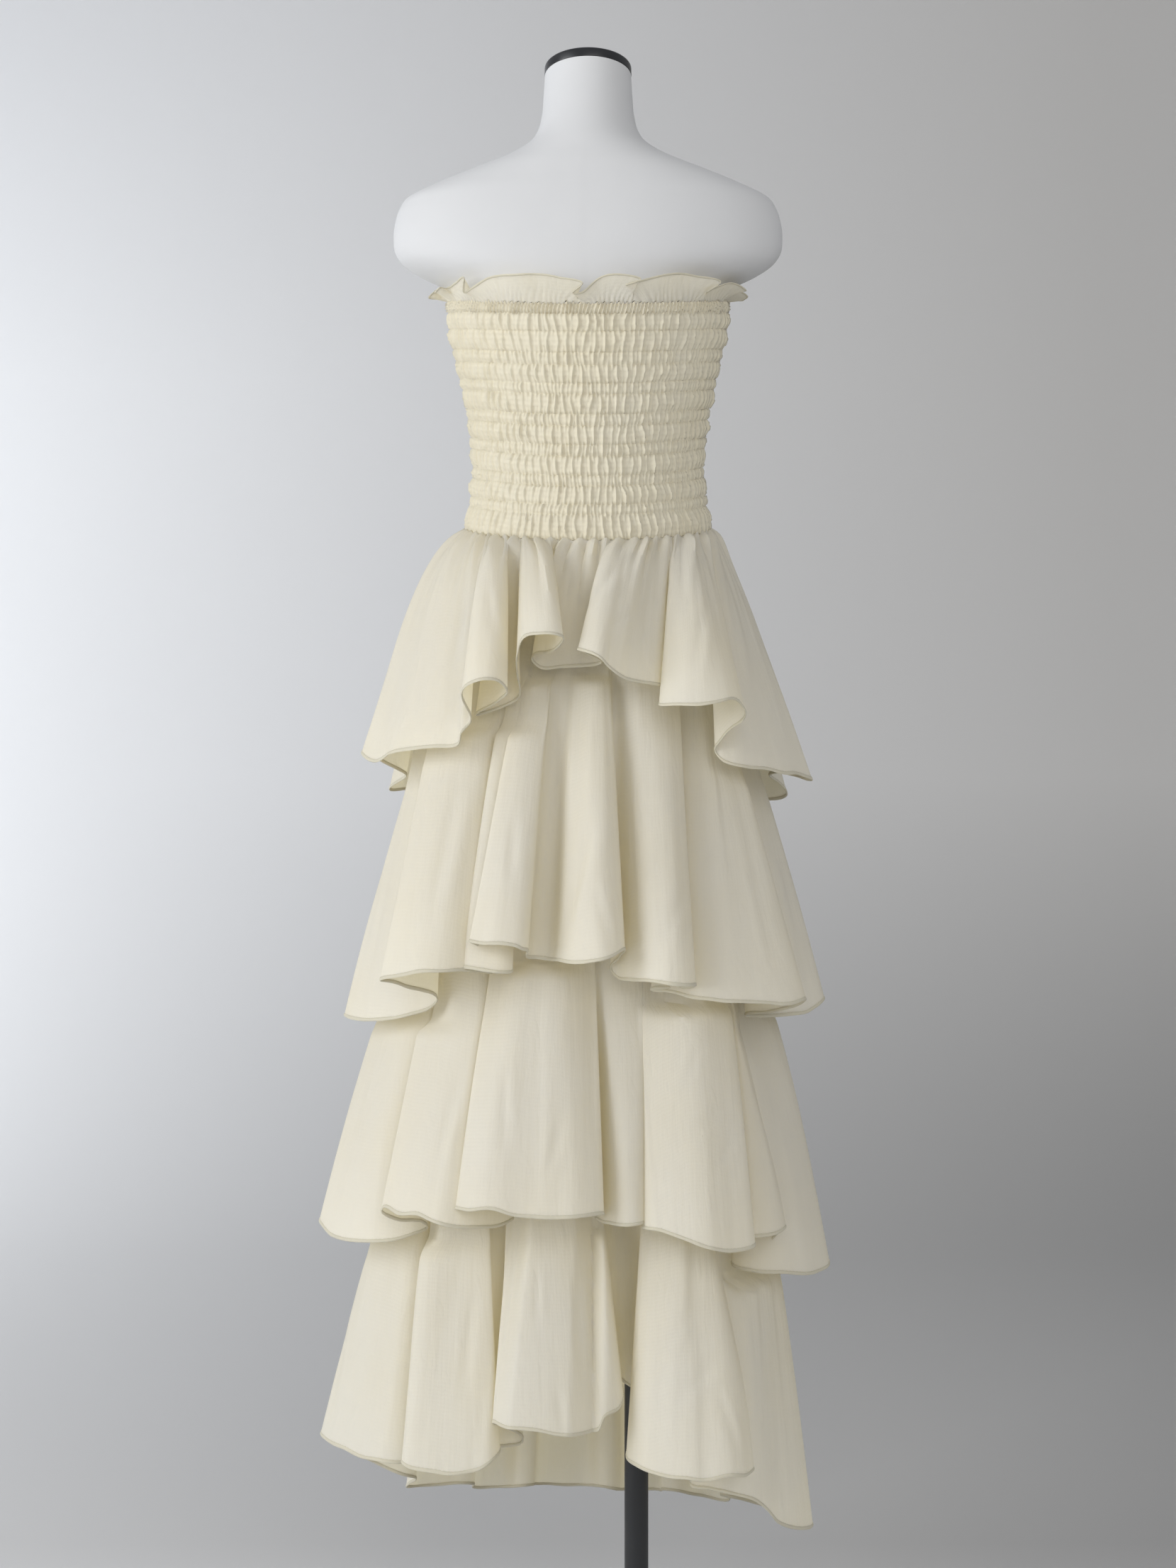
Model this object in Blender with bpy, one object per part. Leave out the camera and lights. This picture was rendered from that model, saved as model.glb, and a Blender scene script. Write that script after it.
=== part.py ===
"""A strapless tiered dress with a shirred bodice, worn by a limbless dress form on a pole stand.

Metres, +Z up. The origin is the centre of the base plate's underside, under the pole.
The dress's back faces -Y, which is also where its hems are shortest.
Plan positions in the tables are measured from the form's own upright axis.
"""

import math
from dataclasses import dataclass

import bpy
import numpy as np

for old in list(bpy.data.objects):
    bpy.data.objects.remove(old, do_unlink=True)

# Driving dimensions
SEAM_GAP = 0.0003
WALL = 0.0014
AXIS_X = -0.050
BASE_RADIUS = 0.165
BASE_THICK = 0.009
BASE_BEVEL = 0.0025
POLE_RADIUS = 0.0123
POLE_SIDES = 20
BASE_SIDES = 40
FORM_BOTTOM = 0.930
FORM_COLUMNS = 32
NECK_TOP = 1.7130
NECK_BEND_FROM = 1.6500
NECK_TILT = math.radians(10.0)
NECK_FORWARD = 0.008
CAP_RADIUS = 0.0450
CAP_THICK = 0.0105
CAP_SIDES = 28
EASE_OVER_FORM = 0.0012
CASING_EASE = 0.0018
BACK_DROP = 0.0210
FRONT_RISE = 0.0100
CASING_TOP = 1.4765
CASING_BOTTOM = 1.4675
WAIST_SEAM = 1.2430
FRILL_COLUMNS = 40
BODICE_COLUMNS = 42
CASING_COLUMNS = 36
LINING_COLUMNS = FORM_COLUMNS // 2
LINING_ROWS = 11
PUFF_HEIGHT = 0.0030
GROOVE_HEIGHT = 0.0006
GATHER_HEIGHT = 0.0016
GATHER_FADE = 0.05
CASING_GATHER = 0.0007
UNDERSKIRT_HEM = 0.6220
UNDERSKIRT_COLUMNS = 22
COLUMNS_PER_FOLD = 8
# Half a side seam's gap, as a share of the way from a crest to its valley
HALF_SEAM = 0.004
SEAM_SEAT = SEAM_GAP + WALL + 0.0002
LAYER_CLEARANCE = 0.0100
OPEN_BELOW = 1.2

# Height, half width, and depth behind and in front of the axis at each section of the form
FORM_SECTIONS = (
    # height, half_width, back, front
    (1.7130, 0.0447, 0.0447, 0.0447),
    (1.6900, 0.0460, 0.0462, 0.0460),
    (1.6680, 0.0480, 0.0490, 0.0475),
    (1.6520, 0.0525, 0.0540, 0.0510),
    (1.6400, 0.0610, 0.0590, 0.0540),
    (1.6250, 0.0866, 0.0640, 0.0580),
    (1.6100, 0.1265, 0.0690, 0.0615),
    (1.5960, 0.1620, 0.0725, 0.0650),
    (1.5835, 0.1870, 0.0760, 0.0680),
    (1.5726, 0.1946, 0.0785, 0.0710),
    (1.5588, 0.1990, 0.0815, 0.0750),
    (1.5430, 0.2007, 0.0845, 0.0800),
    (1.5250, 0.1976, 0.0875, 0.0860),
    (1.5155, 0.1900, 0.0890, 0.0895),
    (1.5050, 0.1730, 0.0903, 0.0930),
    (1.4970, 0.1555, 0.0912, 0.0965),
    (1.4890, 0.1425, 0.0920, 0.1000),
    (1.4780, 0.1405, 0.0932, 0.1050),
    (1.4495, 0.1375, 0.0945, 0.1130),
    (1.4240, 0.1323, 0.0940, 0.1180),
    (1.3980, 0.1265, 0.0925, 0.1190),
    (1.3730, 0.1209, 0.0900, 0.1130),
    (1.3470, 0.1167, 0.0875, 0.1035),
    (1.3240, 0.1142, 0.0858, 0.0955),
    (1.3060, 0.1132, 0.0852, 0.0912),
    (1.2860, 0.1146, 0.0864, 0.0898),
    (1.2570, 0.1185, 0.0896, 0.0903),
    (1.2280, 0.1255, 0.0948, 0.0925),
    (1.1700, 0.1385, 0.1060, 0.0970),
    (1.1000, 0.1480, 0.1150, 0.1010),
    (1.0400, 0.1500, 0.1175, 0.1030),
    (0.9800, 0.1420, 0.1120, 0.0990),
    (0.9450, 0.1190, 0.0930, 0.0830),
    (0.9300, 0.0860, 0.0660, 0.0600),
)

# The underskirt hangs close to the form's hips, and then straight down
UNDERSKIRT_SECTIONS = (
    # height, half_width, back, front
    (1.1700, 0.1440, 0.1115, 0.1030),
    (1.1000, 0.1530, 0.1205, 0.1080),
    (1.0200, 0.1560, 0.1230, 0.1100),
    (0.8400, 0.1575, 0.1240, 0.1120),
    (0.6220, 0.1600, 0.1250, 0.1150),
)

# The elastic rows of the shirring, as a share of the way from the casing to the waist seam.
# A puff column of 1 is a full puff and 0 is an elastic row.
SHIRRING_ROWS = (
    # share_down, puff
    (0.000, 0.0),
    (0.040, 1.0),
    (0.078, 0.0),
    (0.124, 1.0),
    (0.170, 0.0),
    (0.226, 0.0),
    (0.266, 1.0),
    (0.306, 0.0),
    (0.354, 0.0),
    (0.398, 1.0),
    (0.441, 0.0),
    (0.492, 0.0),
    (0.534, 1.0),
    (0.575, 0.0),
    (0.626, 0.0),
    (0.669, 1.0),
    (0.712, 0.0),
    (0.760, 0.0),
    (0.802, 1.0),
    (0.843, 0.0),
    (0.888, 0.0),
    (0.945, 1.0),
    (1.000, 0.3),
)


@dataclass
class Fold:
    """One fold of a hem: the crest that stands out, and the valley that follows it to the right.

    A fullness near 1 gives a plain wave, and 2 or more a broad fold whose side overhangs its valley.
    """

    x: float
    y: float
    z: float
    left: float
    right: float
    valley_x: float
    valley_y: float
    valley_z: float
    valley_full: float


@dataclass
class Tier:
    """A gathered flounce: its seam, how it swells below the seam, and its folds on either side."""

    seam: float
    swell: float
    swell_over: float
    gathers: int
    gather_height: float
    down: tuple
    back: tuple
    front: tuple


# Each row is a fold, from the wearer's left side seam round the back, and then round the front.
# Columns: crest x, y, z, left and right fullness, then valley x, y, z and fullness.
TIERS = (
    Tier(
        seam=WAIST_SEAM,
        swell=0.30,
        swell_over=0.055,
        gathers=38,
        gather_height=0.0022,
        down=(0.0, 0.05, 0.20, 0.52, 1.0),
        back=(
            Fold(-0.228, -0.046, 1.014, 1.1, 1.2, -0.194, -0.092, 1.012, 0.8),
            Fold(-0.156, -0.152, 1.021, 1.3, 1.9, -0.120, -0.126, 1.050, 0.5),
            Fold(-0.100, -0.182, 1.068, 1.7, 1.7, -0.076, -0.142, 1.056, 0.6),
            Fold(-0.044, -0.198, 1.115, 1.9, 1.5, -0.012, -0.150, 1.093, 1.2),
            Fold(0.020, -0.192, 1.097, 2.2, 1.1, 0.070, -0.144, 1.072, 0.5),
            Fold(0.104, -0.184, 1.058, 2.1, 1.9, 0.128, -0.110, 1.018, 0.5),
            Fold(0.164, -0.140, 1.000, 1.8, 1.1, 0.198, -0.094, 0.994, 0.8),
            Fold(0.229, -0.046, 0.985, 1.2, 1.2, 0.190, 0.020, 0.990, 0.8),
        ),
        front=(
            Fold(0.206, 0.088, 0.964, 1.5, 1.5, 0.146, 0.104, 0.972, 0.8),
            Fold(0.140, 0.160, 0.952, 1.5, 1.6, 0.090, 0.138, 0.962, 0.8),
            Fold(0.064, 0.186, 0.956, 1.6, 1.4, 0.030, 0.142, 0.966, 0.9),
            Fold(-0.006, 0.196, 0.950, 1.5, 1.8, -0.046, 0.142, 0.962, 0.8),
            Fold(-0.080, 0.182, 0.958, 1.6, 1.5, -0.104, 0.134, 0.968, 0.8),
            Fold(-0.150, 0.152, 0.966, 1.5, 1.6, -0.152, 0.092, 0.984, 0.8),
            Fold(-0.208, 0.078, 0.972, 1.4, 1.2, -0.190, 0.010, 0.990, 0.8),
        ),
    ),
    Tier(
        seam=1.126,
        swell=0.12,
        swell_over=0.06,
        gathers=0,
        gather_height=0.0,
        down=(0.0, 0.14, 0.52, 1.0),
        back=(
            Fold(-0.248, -0.030, 0.742, 1.2, 1.5, -0.166, -0.104, 0.744, 0.6),
            Fold(-0.170, -0.172, 0.790, 2.1, 1.3, -0.108, -0.152, 0.798, 0.5),
            Fold(-0.086, -0.204, 0.830, 1.8, 1.1, -0.048, -0.166, 0.815, 0.6),
            Fold(-0.008, -0.214, 0.811, 1.3, 2.3, 0.036, -0.142, 0.800, 0.5),
            Fold(0.070, -0.204, 0.789, 1.8, 1.9, 0.094, -0.152, 0.780, 0.5),
            Fold(0.158, -0.166, 0.766, 1.5, 2.0, 0.190, -0.072, 0.764, 0.6),
            Fold(0.243, -0.008, 0.752, 1.5, 1.2, 0.206, 0.034, 0.750, 0.8),
        ),
        front=(
            Fold(0.206, 0.104, 0.734, 1.4, 1.6, 0.148, 0.110, 0.745, 0.8),
            Fold(0.144, 0.168, 0.724, 1.5, 1.6, 0.092, 0.142, 0.736, 0.8),
            Fold(0.060, 0.196, 0.720, 1.7, 1.5, 0.022, 0.150, 0.732, 0.8),
            Fold(-0.022, 0.204, 0.718, 1.5, 1.7, -0.058, 0.150, 0.730, 0.8),
            Fold(-0.098, 0.188, 0.722, 1.6, 1.5, -0.116, 0.138, 0.734, 0.8),
            Fold(-0.172, 0.146, 0.728, 1.5, 1.5, -0.176, 0.084, 0.742, 0.8),
            Fold(-0.230, 0.064, 0.734, 1.3, 1.1, -0.214, 0.014, 0.746, 0.8),
        ),
    ),
    Tier(
        seam=0.862,
        swell=0.34,
        swell_over=0.11,
        gathers=0,
        gather_height=0.0,
        down=(0.0, 0.14, 0.48, 1.0),
        back=(
            Fold(-0.270, -0.046, 0.534, 1.2, 1.6, -0.176, -0.106, 0.530, 0.6),
            Fold(-0.170, -0.182, 0.564, 2.1, 1.3, -0.124, -0.150, 0.555, 0.5),
            Fold(-0.098, -0.208, 0.574, 2.0, 0.9, -0.052, -0.194, 0.570, 0.8),
            Fold(-0.006, -0.210, 0.574, 0.9, 2.1, 0.012, -0.150, 0.571, 0.4),
            Fold(0.034, -0.194, 0.557, 1.2, 0.9, 0.056, -0.166, 0.556, 0.6),
            Fold(0.080, -0.206, 0.548, 1.7, 0.9, 0.108, -0.196, 0.539, 0.8),
            Fold(0.140, -0.190, 0.538, 0.9, 2.0, 0.140, -0.124, 0.545, 0.5),
            Fold(0.184, -0.142, 0.542, 1.4, 1.5, 0.184, -0.084, 0.514, 0.6),
            Fold(0.246, -0.040, 0.484, 1.5, 1.2, 0.206, 0.020, 0.492, 0.8),
        ),
        front=(
            Fold(0.212, 0.094, 0.474, 1.4, 1.5, 0.156, 0.108, 0.482, 0.8),
            Fold(0.150, 0.174, 0.464, 1.5, 1.6, 0.094, 0.148, 0.474, 0.8),
            Fold(0.062, 0.206, 0.460, 1.6, 1.5, 0.024, 0.156, 0.472, 0.8),
            Fold(-0.024, 0.212, 0.462, 1.5, 1.8, -0.064, 0.156, 0.474, 0.8),
            Fold(-0.106, 0.196, 0.468, 1.6, 1.6, -0.130, 0.142, 0.480, 0.8),
            Fold(-0.188, 0.152, 0.480, 1.5, 1.5, -0.186, 0.084, 0.494, 0.8),
            Fold(-0.246, 0.062, 0.500, 1.3, 1.1, -0.226, 0.012, 0.516, 0.8),
        ),
    ),
    Tier(
        seam=UNDERSKIRT_HEM,
        swell=0.40,
        swell_over=0.11,
        gathers=0,
        gather_height=0.0,
        down=(0.0, 0.14, 0.48, 1.0),
        back=(
            Fold(-0.266, -0.058, 0.324, 1.2, 1.6, -0.170, -0.108, 0.306, 0.6),
            Fold(-0.142, -0.202, 0.322, 2.0, 1.9, -0.100, -0.148, 0.340, 0.5),
            Fold(-0.072, -0.216, 0.366, 2.0, 0.9, -0.030, -0.202, 0.361, 0.8),
            Fold(0.010, -0.212, 0.374, 0.9, 2.2, 0.046, -0.080, 0.372, 0.35),
            Fold(0.060, -0.212, 0.330, 2.0, 0.9, 0.098, -0.200, 0.322, 0.8),
            Fold(0.132, -0.198, 0.324, 0.9, 2.1, 0.134, -0.128, 0.288, 0.5),
            Fold(0.226, -0.048, 0.230, 1.9, 1.2, 0.198, 0.008, 0.224, 0.7),
        ),
        front=(
            Fold(0.204, 0.088, 0.200, 1.4, 1.5, 0.148, 0.106, 0.212, 0.8),
            Fold(0.146, 0.174, 0.186, 1.5, 1.6, 0.090, 0.150, 0.204, 0.8),
            Fold(0.062, 0.210, 0.186, 1.7, 1.5, 0.022, 0.158, 0.204, 0.8),
            Fold(-0.026, 0.214, 0.190, 1.5, 1.8, -0.068, 0.158, 0.206, 0.8),
            Fold(-0.112, 0.196, 0.192, 1.6, 1.6, -0.132, 0.142, 0.214, 0.8),
            Fold(-0.190, 0.154, 0.206, 1.5, 1.5, -0.188, 0.084, 0.238, 0.8),
            Fold(-0.248, 0.060, 0.270, 1.3, 1.1, -0.224, 0.004, 0.300, 0.8),
        ),
    ),
)

# The frill's waves: where each crest and dip stands round the edge, how far it leans out, its height
FRILL_BACK = (
    # angle_deg, lean_out, rise
    (-88.0, 0.020, 0.006),
    (-79.0, 0.010, 0.012),
    (-70.0, 0.021, 0.010),
    (-61.0, 0.009, 0.016),
    (-52.0, 0.018, 0.018),
    (-44.0, 0.008, 0.022),
    (-27.0, 0.016, 0.025),
    (-6.0, 0.004, 0.017),
    (2.0, 0.016, 0.024),
    (13.0, 0.006, 0.019),
    (30.0, 0.016, 0.025),
    (48.0, 0.006, 0.018),
    (58.0, 0.019, 0.018),
    (68.0, 0.009, 0.012),
    (79.0, 0.022, 0.010),
    (88.0, 0.010, 0.008),
)
FRILL_FRONT = (
    # angle_deg, lean_out, rise
    (98.0, 0.020, 0.006),
    (108.0, 0.009, 0.009),
    (122.0, 0.018, 0.015),
    (136.0, 0.007, 0.018),
    (152.0, 0.016, 0.026),
    (168.0, 0.006, 0.021),
    (184.0, 0.017, 0.026),
    (199.0, 0.006, 0.020),
    (213.0, 0.016, 0.025),
    (228.0, 0.007, 0.018),
    (241.0, 0.019, 0.015),
    (253.0, 0.009, 0.009),
    (263.0, 0.020, 0.006),
)


def material(name, colour, roughness, metallic=0.0):
    made = bpy.data.materials.new(name)
    made.use_nodes = True
    shader = made.node_tree.nodes["Principled BSDF"]
    shader.inputs["Base Color"].default_value = (*colour, 1.0)
    shader.inputs["Roughness"].default_value = roughness
    shader.inputs["Metallic"].default_value = metallic
    return made


VOILE = material("cream_voile", (0.86, 0.83, 0.70), 0.85)
SHIRRED = material("shirred_voile", (0.78, 0.75, 0.61), 0.85)
JERSEY = material("white_jersey", (0.86, 0.86, 0.86), 0.90)
BLACK_CAP = material("black_cap", (0.012, 0.013, 0.015), 0.30)
BLACK_STEEL = material("black_steel", (0.012, 0.013, 0.014), 0.38, 0.6)


def mesh_object(name, points, faces, finish):
    mesh = bpy.data.meshes.new(name)
    mesh.from_pydata([tuple(p) for p in points], [], faces)
    mesh.validate()
    mesh.materials.append(finish)
    mesh.shade_smooth()
    made = bpy.data.objects.new(name, mesh)
    bpy.context.scene.collection.objects.link(made)
    return made


def grid_faces(start, rows, columns, flip):
    """Triangles over a grid of points, both walls of a shell cut along the same diagonal."""
    faces = []
    for i in range(rows - 1):
        for j in range(columns - 1):
            a = start + i * columns + j
            b, c, d = a + 1, a + columns + 1, a + columns
            pair = ((a, d, c), (a, c, b))
            faces += [t[::-1] for t in pair] if flip else list(pair)
    return faces


def zip_edges(first, second):
    """Triangles between two edges that run the same way and may have different numbers of points."""
    faces, i, j = [], 0, 0
    while i < len(first) - 1 or j < len(second) - 1:
        ahead_first = (i + 1) / (len(first) - 1)
        ahead_second = (j + 1) / (len(second) - 1)
        if j == len(second) - 1 or (i < len(first) - 1 and ahead_first <= ahead_second):
            faces.append((first[i], first[i + 1], second[j]))
            i += 1
        else:
            faces.append((first[i], second[j + 1], second[j]))
            j += 1
    return faces


def border(start, rows, columns):
    """The four edges of a grid: top, right, bottom and left, head to tail."""
    top = [start + j for j in range(columns)]
    right = [start + i * columns + columns - 1 for i in range(rows)]
    bottom = [start + (rows - 1) * columns + j for j in reversed(range(columns))]
    left = [start + i * columns for i in reversed(range(rows))]
    return top, right, bottom, left


def cloth_wall(name, outer, inner, finish):
    """A closed piece of cloth between an outer and an inner grid of points, rows downwards."""
    rows, columns = outer.shape[:2]
    inner_rows, inner_columns = inner.shape[:2]
    points = np.concatenate([outer.reshape(-1, 3), inner.reshape(-1, 3)])
    start = rows * columns
    faces = grid_faces(0, rows, columns, False)
    faces += grid_faces(start, inner_rows, inner_columns, True)
    for edge, facing in zip(border(0, rows, columns), border(start, inner_rows, inner_columns)):
        faces += zip_edges(edge, facing)
    return mesh_object(name, points + (AXIS_X, 0.0, 0.0), faces, finish)


def between_rows(table, heights):
    """Every column of a table of sections at the heights asked for, on a smooth curve."""
    rows = np.array(sorted(table))
    known, values = rows[:, 0], rows[:, 1:]
    slopes = np.gradient(values, known, axis=0)
    at = np.clip(np.asarray(heights, float), known[0], known[-1])
    i = np.clip(np.searchsorted(known, at) - 1, 0, len(known) - 2)
    step = known[i + 1] - known[i]
    t = ((at - known[i]) / step)[..., None]
    step = step[..., None]
    return (
        (2 * t**3 - 3 * t**2 + 1) * values[i]
        + (t**3 - 2 * t**2 + t) * step * slopes[i]
        + (3 * t**2 - 2 * t**3) * values[i + 1]
        + (t**3 - t**2) * step * slopes[i + 1]
    )


def around(table, angles, heights, out=0.0):
    """Points round a body of oval sections. Angle 0 is the middle of the back, +90 degrees is +X."""
    section = between_rows(table, heights)
    depth = np.where(np.cos(angles) > 0, section[..., 1], section[..., 2])
    x = (section[..., 0] + out) * np.sin(angles)
    y = -(depth + out) * np.cos(angles)
    return np.stack([x, y, heights + 0.0 * x], axis=-1)


def drop(angles):
    """How far the dress's level lines lie below the side seams: they sink behind and rise in front."""
    tilt, bow = 0.5 * (BACK_DROP + FRONT_RISE), 0.5 * (BACK_DROP - FRONT_RISE)
    return tilt * np.cos(angles) + bow * np.cos(angles) ** 2


def half_angles(columns, front):
    """Angles across one half of the dress, stopping half a seam gap short of each side seam."""
    edge = math.pi / 2 - 0.5 * SEAM_GAP / 0.13
    return np.linspace(-edge, edge, columns) + (math.pi if front else 0.0)


def form_torso():
    heights = np.array([row[0] for row in FORM_SECTIONS])
    angles = np.arange(FORM_COLUMNS) * math.tau / FORM_COLUMNS
    points = around(FORM_SECTIONS, angles[None, :], heights[:, None])
    bend = np.clip((heights - NECK_BEND_FROM) / (NECK_TOP - NECK_BEND_FROM), 0.0, 1.0)
    bend = (bend**2 * (3 - 2 * bend))[:, None]
    points[..., 2] -= bend * math.tan(NECK_TILT) * points[..., 1]
    points[..., 1] += bend * NECK_FORWARD
    points[..., 0] += AXIS_X
    rows = len(heights)
    faces = []
    for i in range(rows - 1):
        for j in range(FORM_COLUMNS):
            k = (j + 1) % FORM_COLUMNS
            a, b = i * FORM_COLUMNS + j, i * FORM_COLUMNS + k
            faces.append((a, a + FORM_COLUMNS, b + FORM_COLUMNS, b))
    faces.append(tuple(range(FORM_COLUMNS)))
    faces.append(tuple((rows - 1) * FORM_COLUMNS + j for j in reversed(range(FORM_COLUMNS))))
    mesh_object("form_torso", points.reshape(-1, 3), faces, JERSEY)


def turned(name, profile, sides, finish):
    """A solid of revolution about Z from (radius, height) points, bottom to top."""
    angles = np.arange(sides) * math.tau / sides
    points = [
        (r * math.cos(a), r * math.sin(a), z) for r, z in profile for a in angles
    ]
    faces = []
    for i in range(len(profile) - 1):
        for j in range(sides):
            a, b = i * sides + j, i * sides + (j + 1) % sides
            faces.append((a, b, b + sides, a + sides))
    faces.append(tuple(reversed(range(sides))))
    faces.append(tuple((len(profile) - 1) * sides + j for j in range(sides)))
    return mesh_object(name, points, faces, finish)


def neck_cap():
    profile = (
        (CAP_RADIUS - 0.0010, 0.0),
        (CAP_RADIUS, 0.0012),
        (CAP_RADIUS, CAP_THICK - 0.0022),
        (CAP_RADIUS - 0.0020, CAP_THICK),
        (CAP_RADIUS * 0.5, CAP_THICK + 0.0008),
    )
    cap = turned("form_neck_cap", profile, CAP_SIDES, BLACK_CAP)
    cap.location = (AXIS_X, NECK_FORWARD, NECK_TOP + SEAM_GAP)
    cap.rotation_euler = (-NECK_TILT, 0.0, 0.0)


def stand():
    turned(
        "stand_base",
        (
            (BASE_RADIUS, 0.0),
            (BASE_RADIUS, BASE_THICK - BASE_BEVEL),
            (BASE_RADIUS - BASE_BEVEL, BASE_THICK),
        ),
        BASE_SIDES,
        BLACK_STEEL,
    )
    turned(
        "stand_pole",
        (
            (POLE_RADIUS, BASE_THICK + SEAM_GAP),
            (POLE_RADIUS, FORM_BOTTOM - SEAM_GAP),
        ),
        POLE_SIDES,
        BLACK_STEEL,
    )


def bodice_points(angles, shares, out):
    """Points on the bodice by share of the way down from the casing, a distance out from the form."""
    lift = drop(angles)
    heights = CASING_BOTTOM - SEAM_GAP + shares * (WAIST_SEAM - CASING_BOTTOM + SEAM_GAP) - lift
    return around(FORM_SECTIONS, angles, heights, out)


def bodice(front):
    angles = half_angles(BODICE_COLUMNS, front)
    rows = np.array(SHIRRING_ROWS)
    puff = rows[:, 1][:, None]
    column = np.arange(BODICE_COLUMNS)[None, :]
    row = np.arange(len(rows))[:, None]
    gather = np.where((column + row // 2) % 2 == 0, 1.0, 0.0)
    unevenness = 0.75 + 0.25 * np.sin(1.7 * column + 2.3 * row)
    raised = GROOVE_HEIGHT + PUFF_HEIGHT * puff + GATHER_HEIGHT * gather * unevenness
    outer = bodice_points(angles[None, :], rows[:, :1], EASE_OVER_FORM + WALL + raised)
    plain = half_angles(LINING_COLUMNS + 1, front)
    down = np.linspace(0.0, 1.0, LINING_ROWS)[:, None]
    inner = bodice_points(plain[None, :], down, EASE_OVER_FORM)
    cloth_wall("bodice_front" if front else "bodice_back", outer, inner, SHIRRED)


def casing(front):
    """The narrow channel between the frill and the shirring, with its own fine gathers."""
    angles = half_angles(CASING_COLUMNS, front)
    heights = np.array([CASING_TOP, CASING_BOTTOM])
    gather = CASING_GATHER * (np.arange(CASING_COLUMNS) % 2)
    level = heights[:, None] - drop(angles)[None, :]
    outer = around(FORM_SECTIONS, angles[None, :], level, CASING_EASE + WALL + gather[None, :])
    inner = around(FORM_SECTIONS, angles[None, :], level, CASING_EASE)
    cloth_wall("casing_front" if front else "casing_back", outer, inner, SHIRRED)


def frill_edge(angles):
    """How far the frill's free edge leans out and rises at each angle, on a smooth curve."""
    rows = FRILL_BACK + FRILL_FRONT
    before = [(a - 360.0, lean, rise) for a, lean, rise in FRILL_FRONT[-2:]]
    after = [(a + 360.0, lean, rise) for a, lean, rise in FRILL_BACK[:2]]
    return between_rows(before + list(rows) + after, np.degrees(angles))


def frill(front):
    angles = half_angles(FRILL_COLUMNS, front)
    edge = frill_edge(angles)
    lean, rise = edge[:, 0][None, :], edge[:, 1][None, :]
    up = np.array([1.0, 0.5, 0.0])[:, None]
    level = CASING_TOP + SEAM_GAP - drop(angles)[None, :]
    foot = around(FORM_SECTIONS, angles[None, :], level + 0 * up, CASING_EASE + WALL)
    out = np.stack([np.sin(angles), -np.cos(angles)], axis=-1)[None]
    outer = foot.copy()
    outer[..., :2] += out * (lean * up**1.4)[..., None]
    outer[..., 2] += rise * up**0.8
    inner = outer.copy()
    inner[..., :2] -= out * WALL
    inner[..., 2] += 0.0004 * up
    cloth_wall("frill_front" if front else "frill_back", outer, inner, VOILE)


def underskirt_table():
    """The underskirt's sections: sewn in under the waist seam, then clear of the form's hips."""
    waist = [
        (z, *(between_rows(FORM_SECTIONS, z) + EASE_OVER_FORM + WALL))
        for z in (WAIST_SEAM + BACK_DROP, WAIST_SEAM, WAIST_SEAM - BACK_DROP)
    ]
    return tuple(waist) + UNDERSKIRT_SECTIONS


def underskirt(front):
    angles = half_angles(UNDERSKIRT_COLUMNS, front)
    top = WAIST_SEAM - SEAM_GAP - drop(angles)[None, :]
    down = np.array([0.0, 0.10, 0.20, 0.35, 1.0])[:, None]
    level = top + down * (UNDERSKIRT_HEM - top)
    table = underskirt_table()
    outer = around(table, angles[None, :], level)
    inner = around(table, angles[None, :], level, -WALL)
    cloth_wall("underskirt_front" if front else "underskirt_back", outer, inner, VOILE)


def kept_outside(points, table, out):
    """Points moved outwards where they would come nearer than this to a body of oval sections."""
    angle = np.arctan2(points[..., 0], -points[..., 1])
    width, back, front = np.moveaxis(between_rows(table, points[..., 2]), -1, 0)
    depth = np.where(np.cos(angle) > 0, back, front) + out
    least = 1.0 / np.hypot(np.sin(angle) / (width + out), np.cos(angle) / depth)
    below = np.maximum(table[-1][0] - points[..., 2], 0.0)
    least = least - OPEN_BELOW * below
    reach = np.hypot(points[..., 0], points[..., 1])
    points[..., :2] *= (np.maximum(reach, least) / reach)[..., None]
    return points


def hem_knots(tier):
    """Crests and valleys of a hem in turn, from the first back crest: x, y, z, left and right fullness."""
    knots = []
    for fold in tier.back + tier.front:
        knots.append((fold.x, fold.y, fold.z, fold.left, fold.right))
        knots.append((fold.valley_x, fold.valley_y, fold.valley_z, fold.valley_full, fold.valley_full))
    return np.array(knots)


def hem_curve(knots, at):
    """The hem at a count of knots: a closed curve whose fullness sets how broad each fold is."""
    points = knots[:, :3]
    slopes = np.roll(points, -1, axis=0) - np.roll(points, 1, axis=0)
    slopes[:, 2] *= 0.5
    arriving, leaving = slopes * knots[:, 3:4], slopes * knots[:, 4:5]
    i = np.floor(at).astype(int)
    t = (at - i)[..., None]
    i, k = i % len(points), (i + 1) % len(points)
    return (
        (2 * t**3 - 3 * t**2 + 1) * points[i]
        + (t**3 - 2 * t**2 + t) * leaving[i]
        + (3 * t**2 - 2 * t**3) * points[k]
        + (t**3 - t**2) * arriving[k]
    )


def seam_angles(knots, table, seam, at):
    """The angle on the seam above each place on the hem, even between the crests."""
    width, back, front = between_rows(table, seam)
    crests = knots[::2]
    depth = np.where(crests[:, 1] < 0, back, front)
    angles = np.unwrap(np.arctan2(crests[:, 0] / width, -crests[:, 1] / depth))
    turns = np.arange(-1, len(angles) + 2)
    whole = np.floor(turns / len(angles)) * math.tau
    return np.interp(at / 2.0, turns, angles[turns % len(angles)] + whole)


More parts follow.
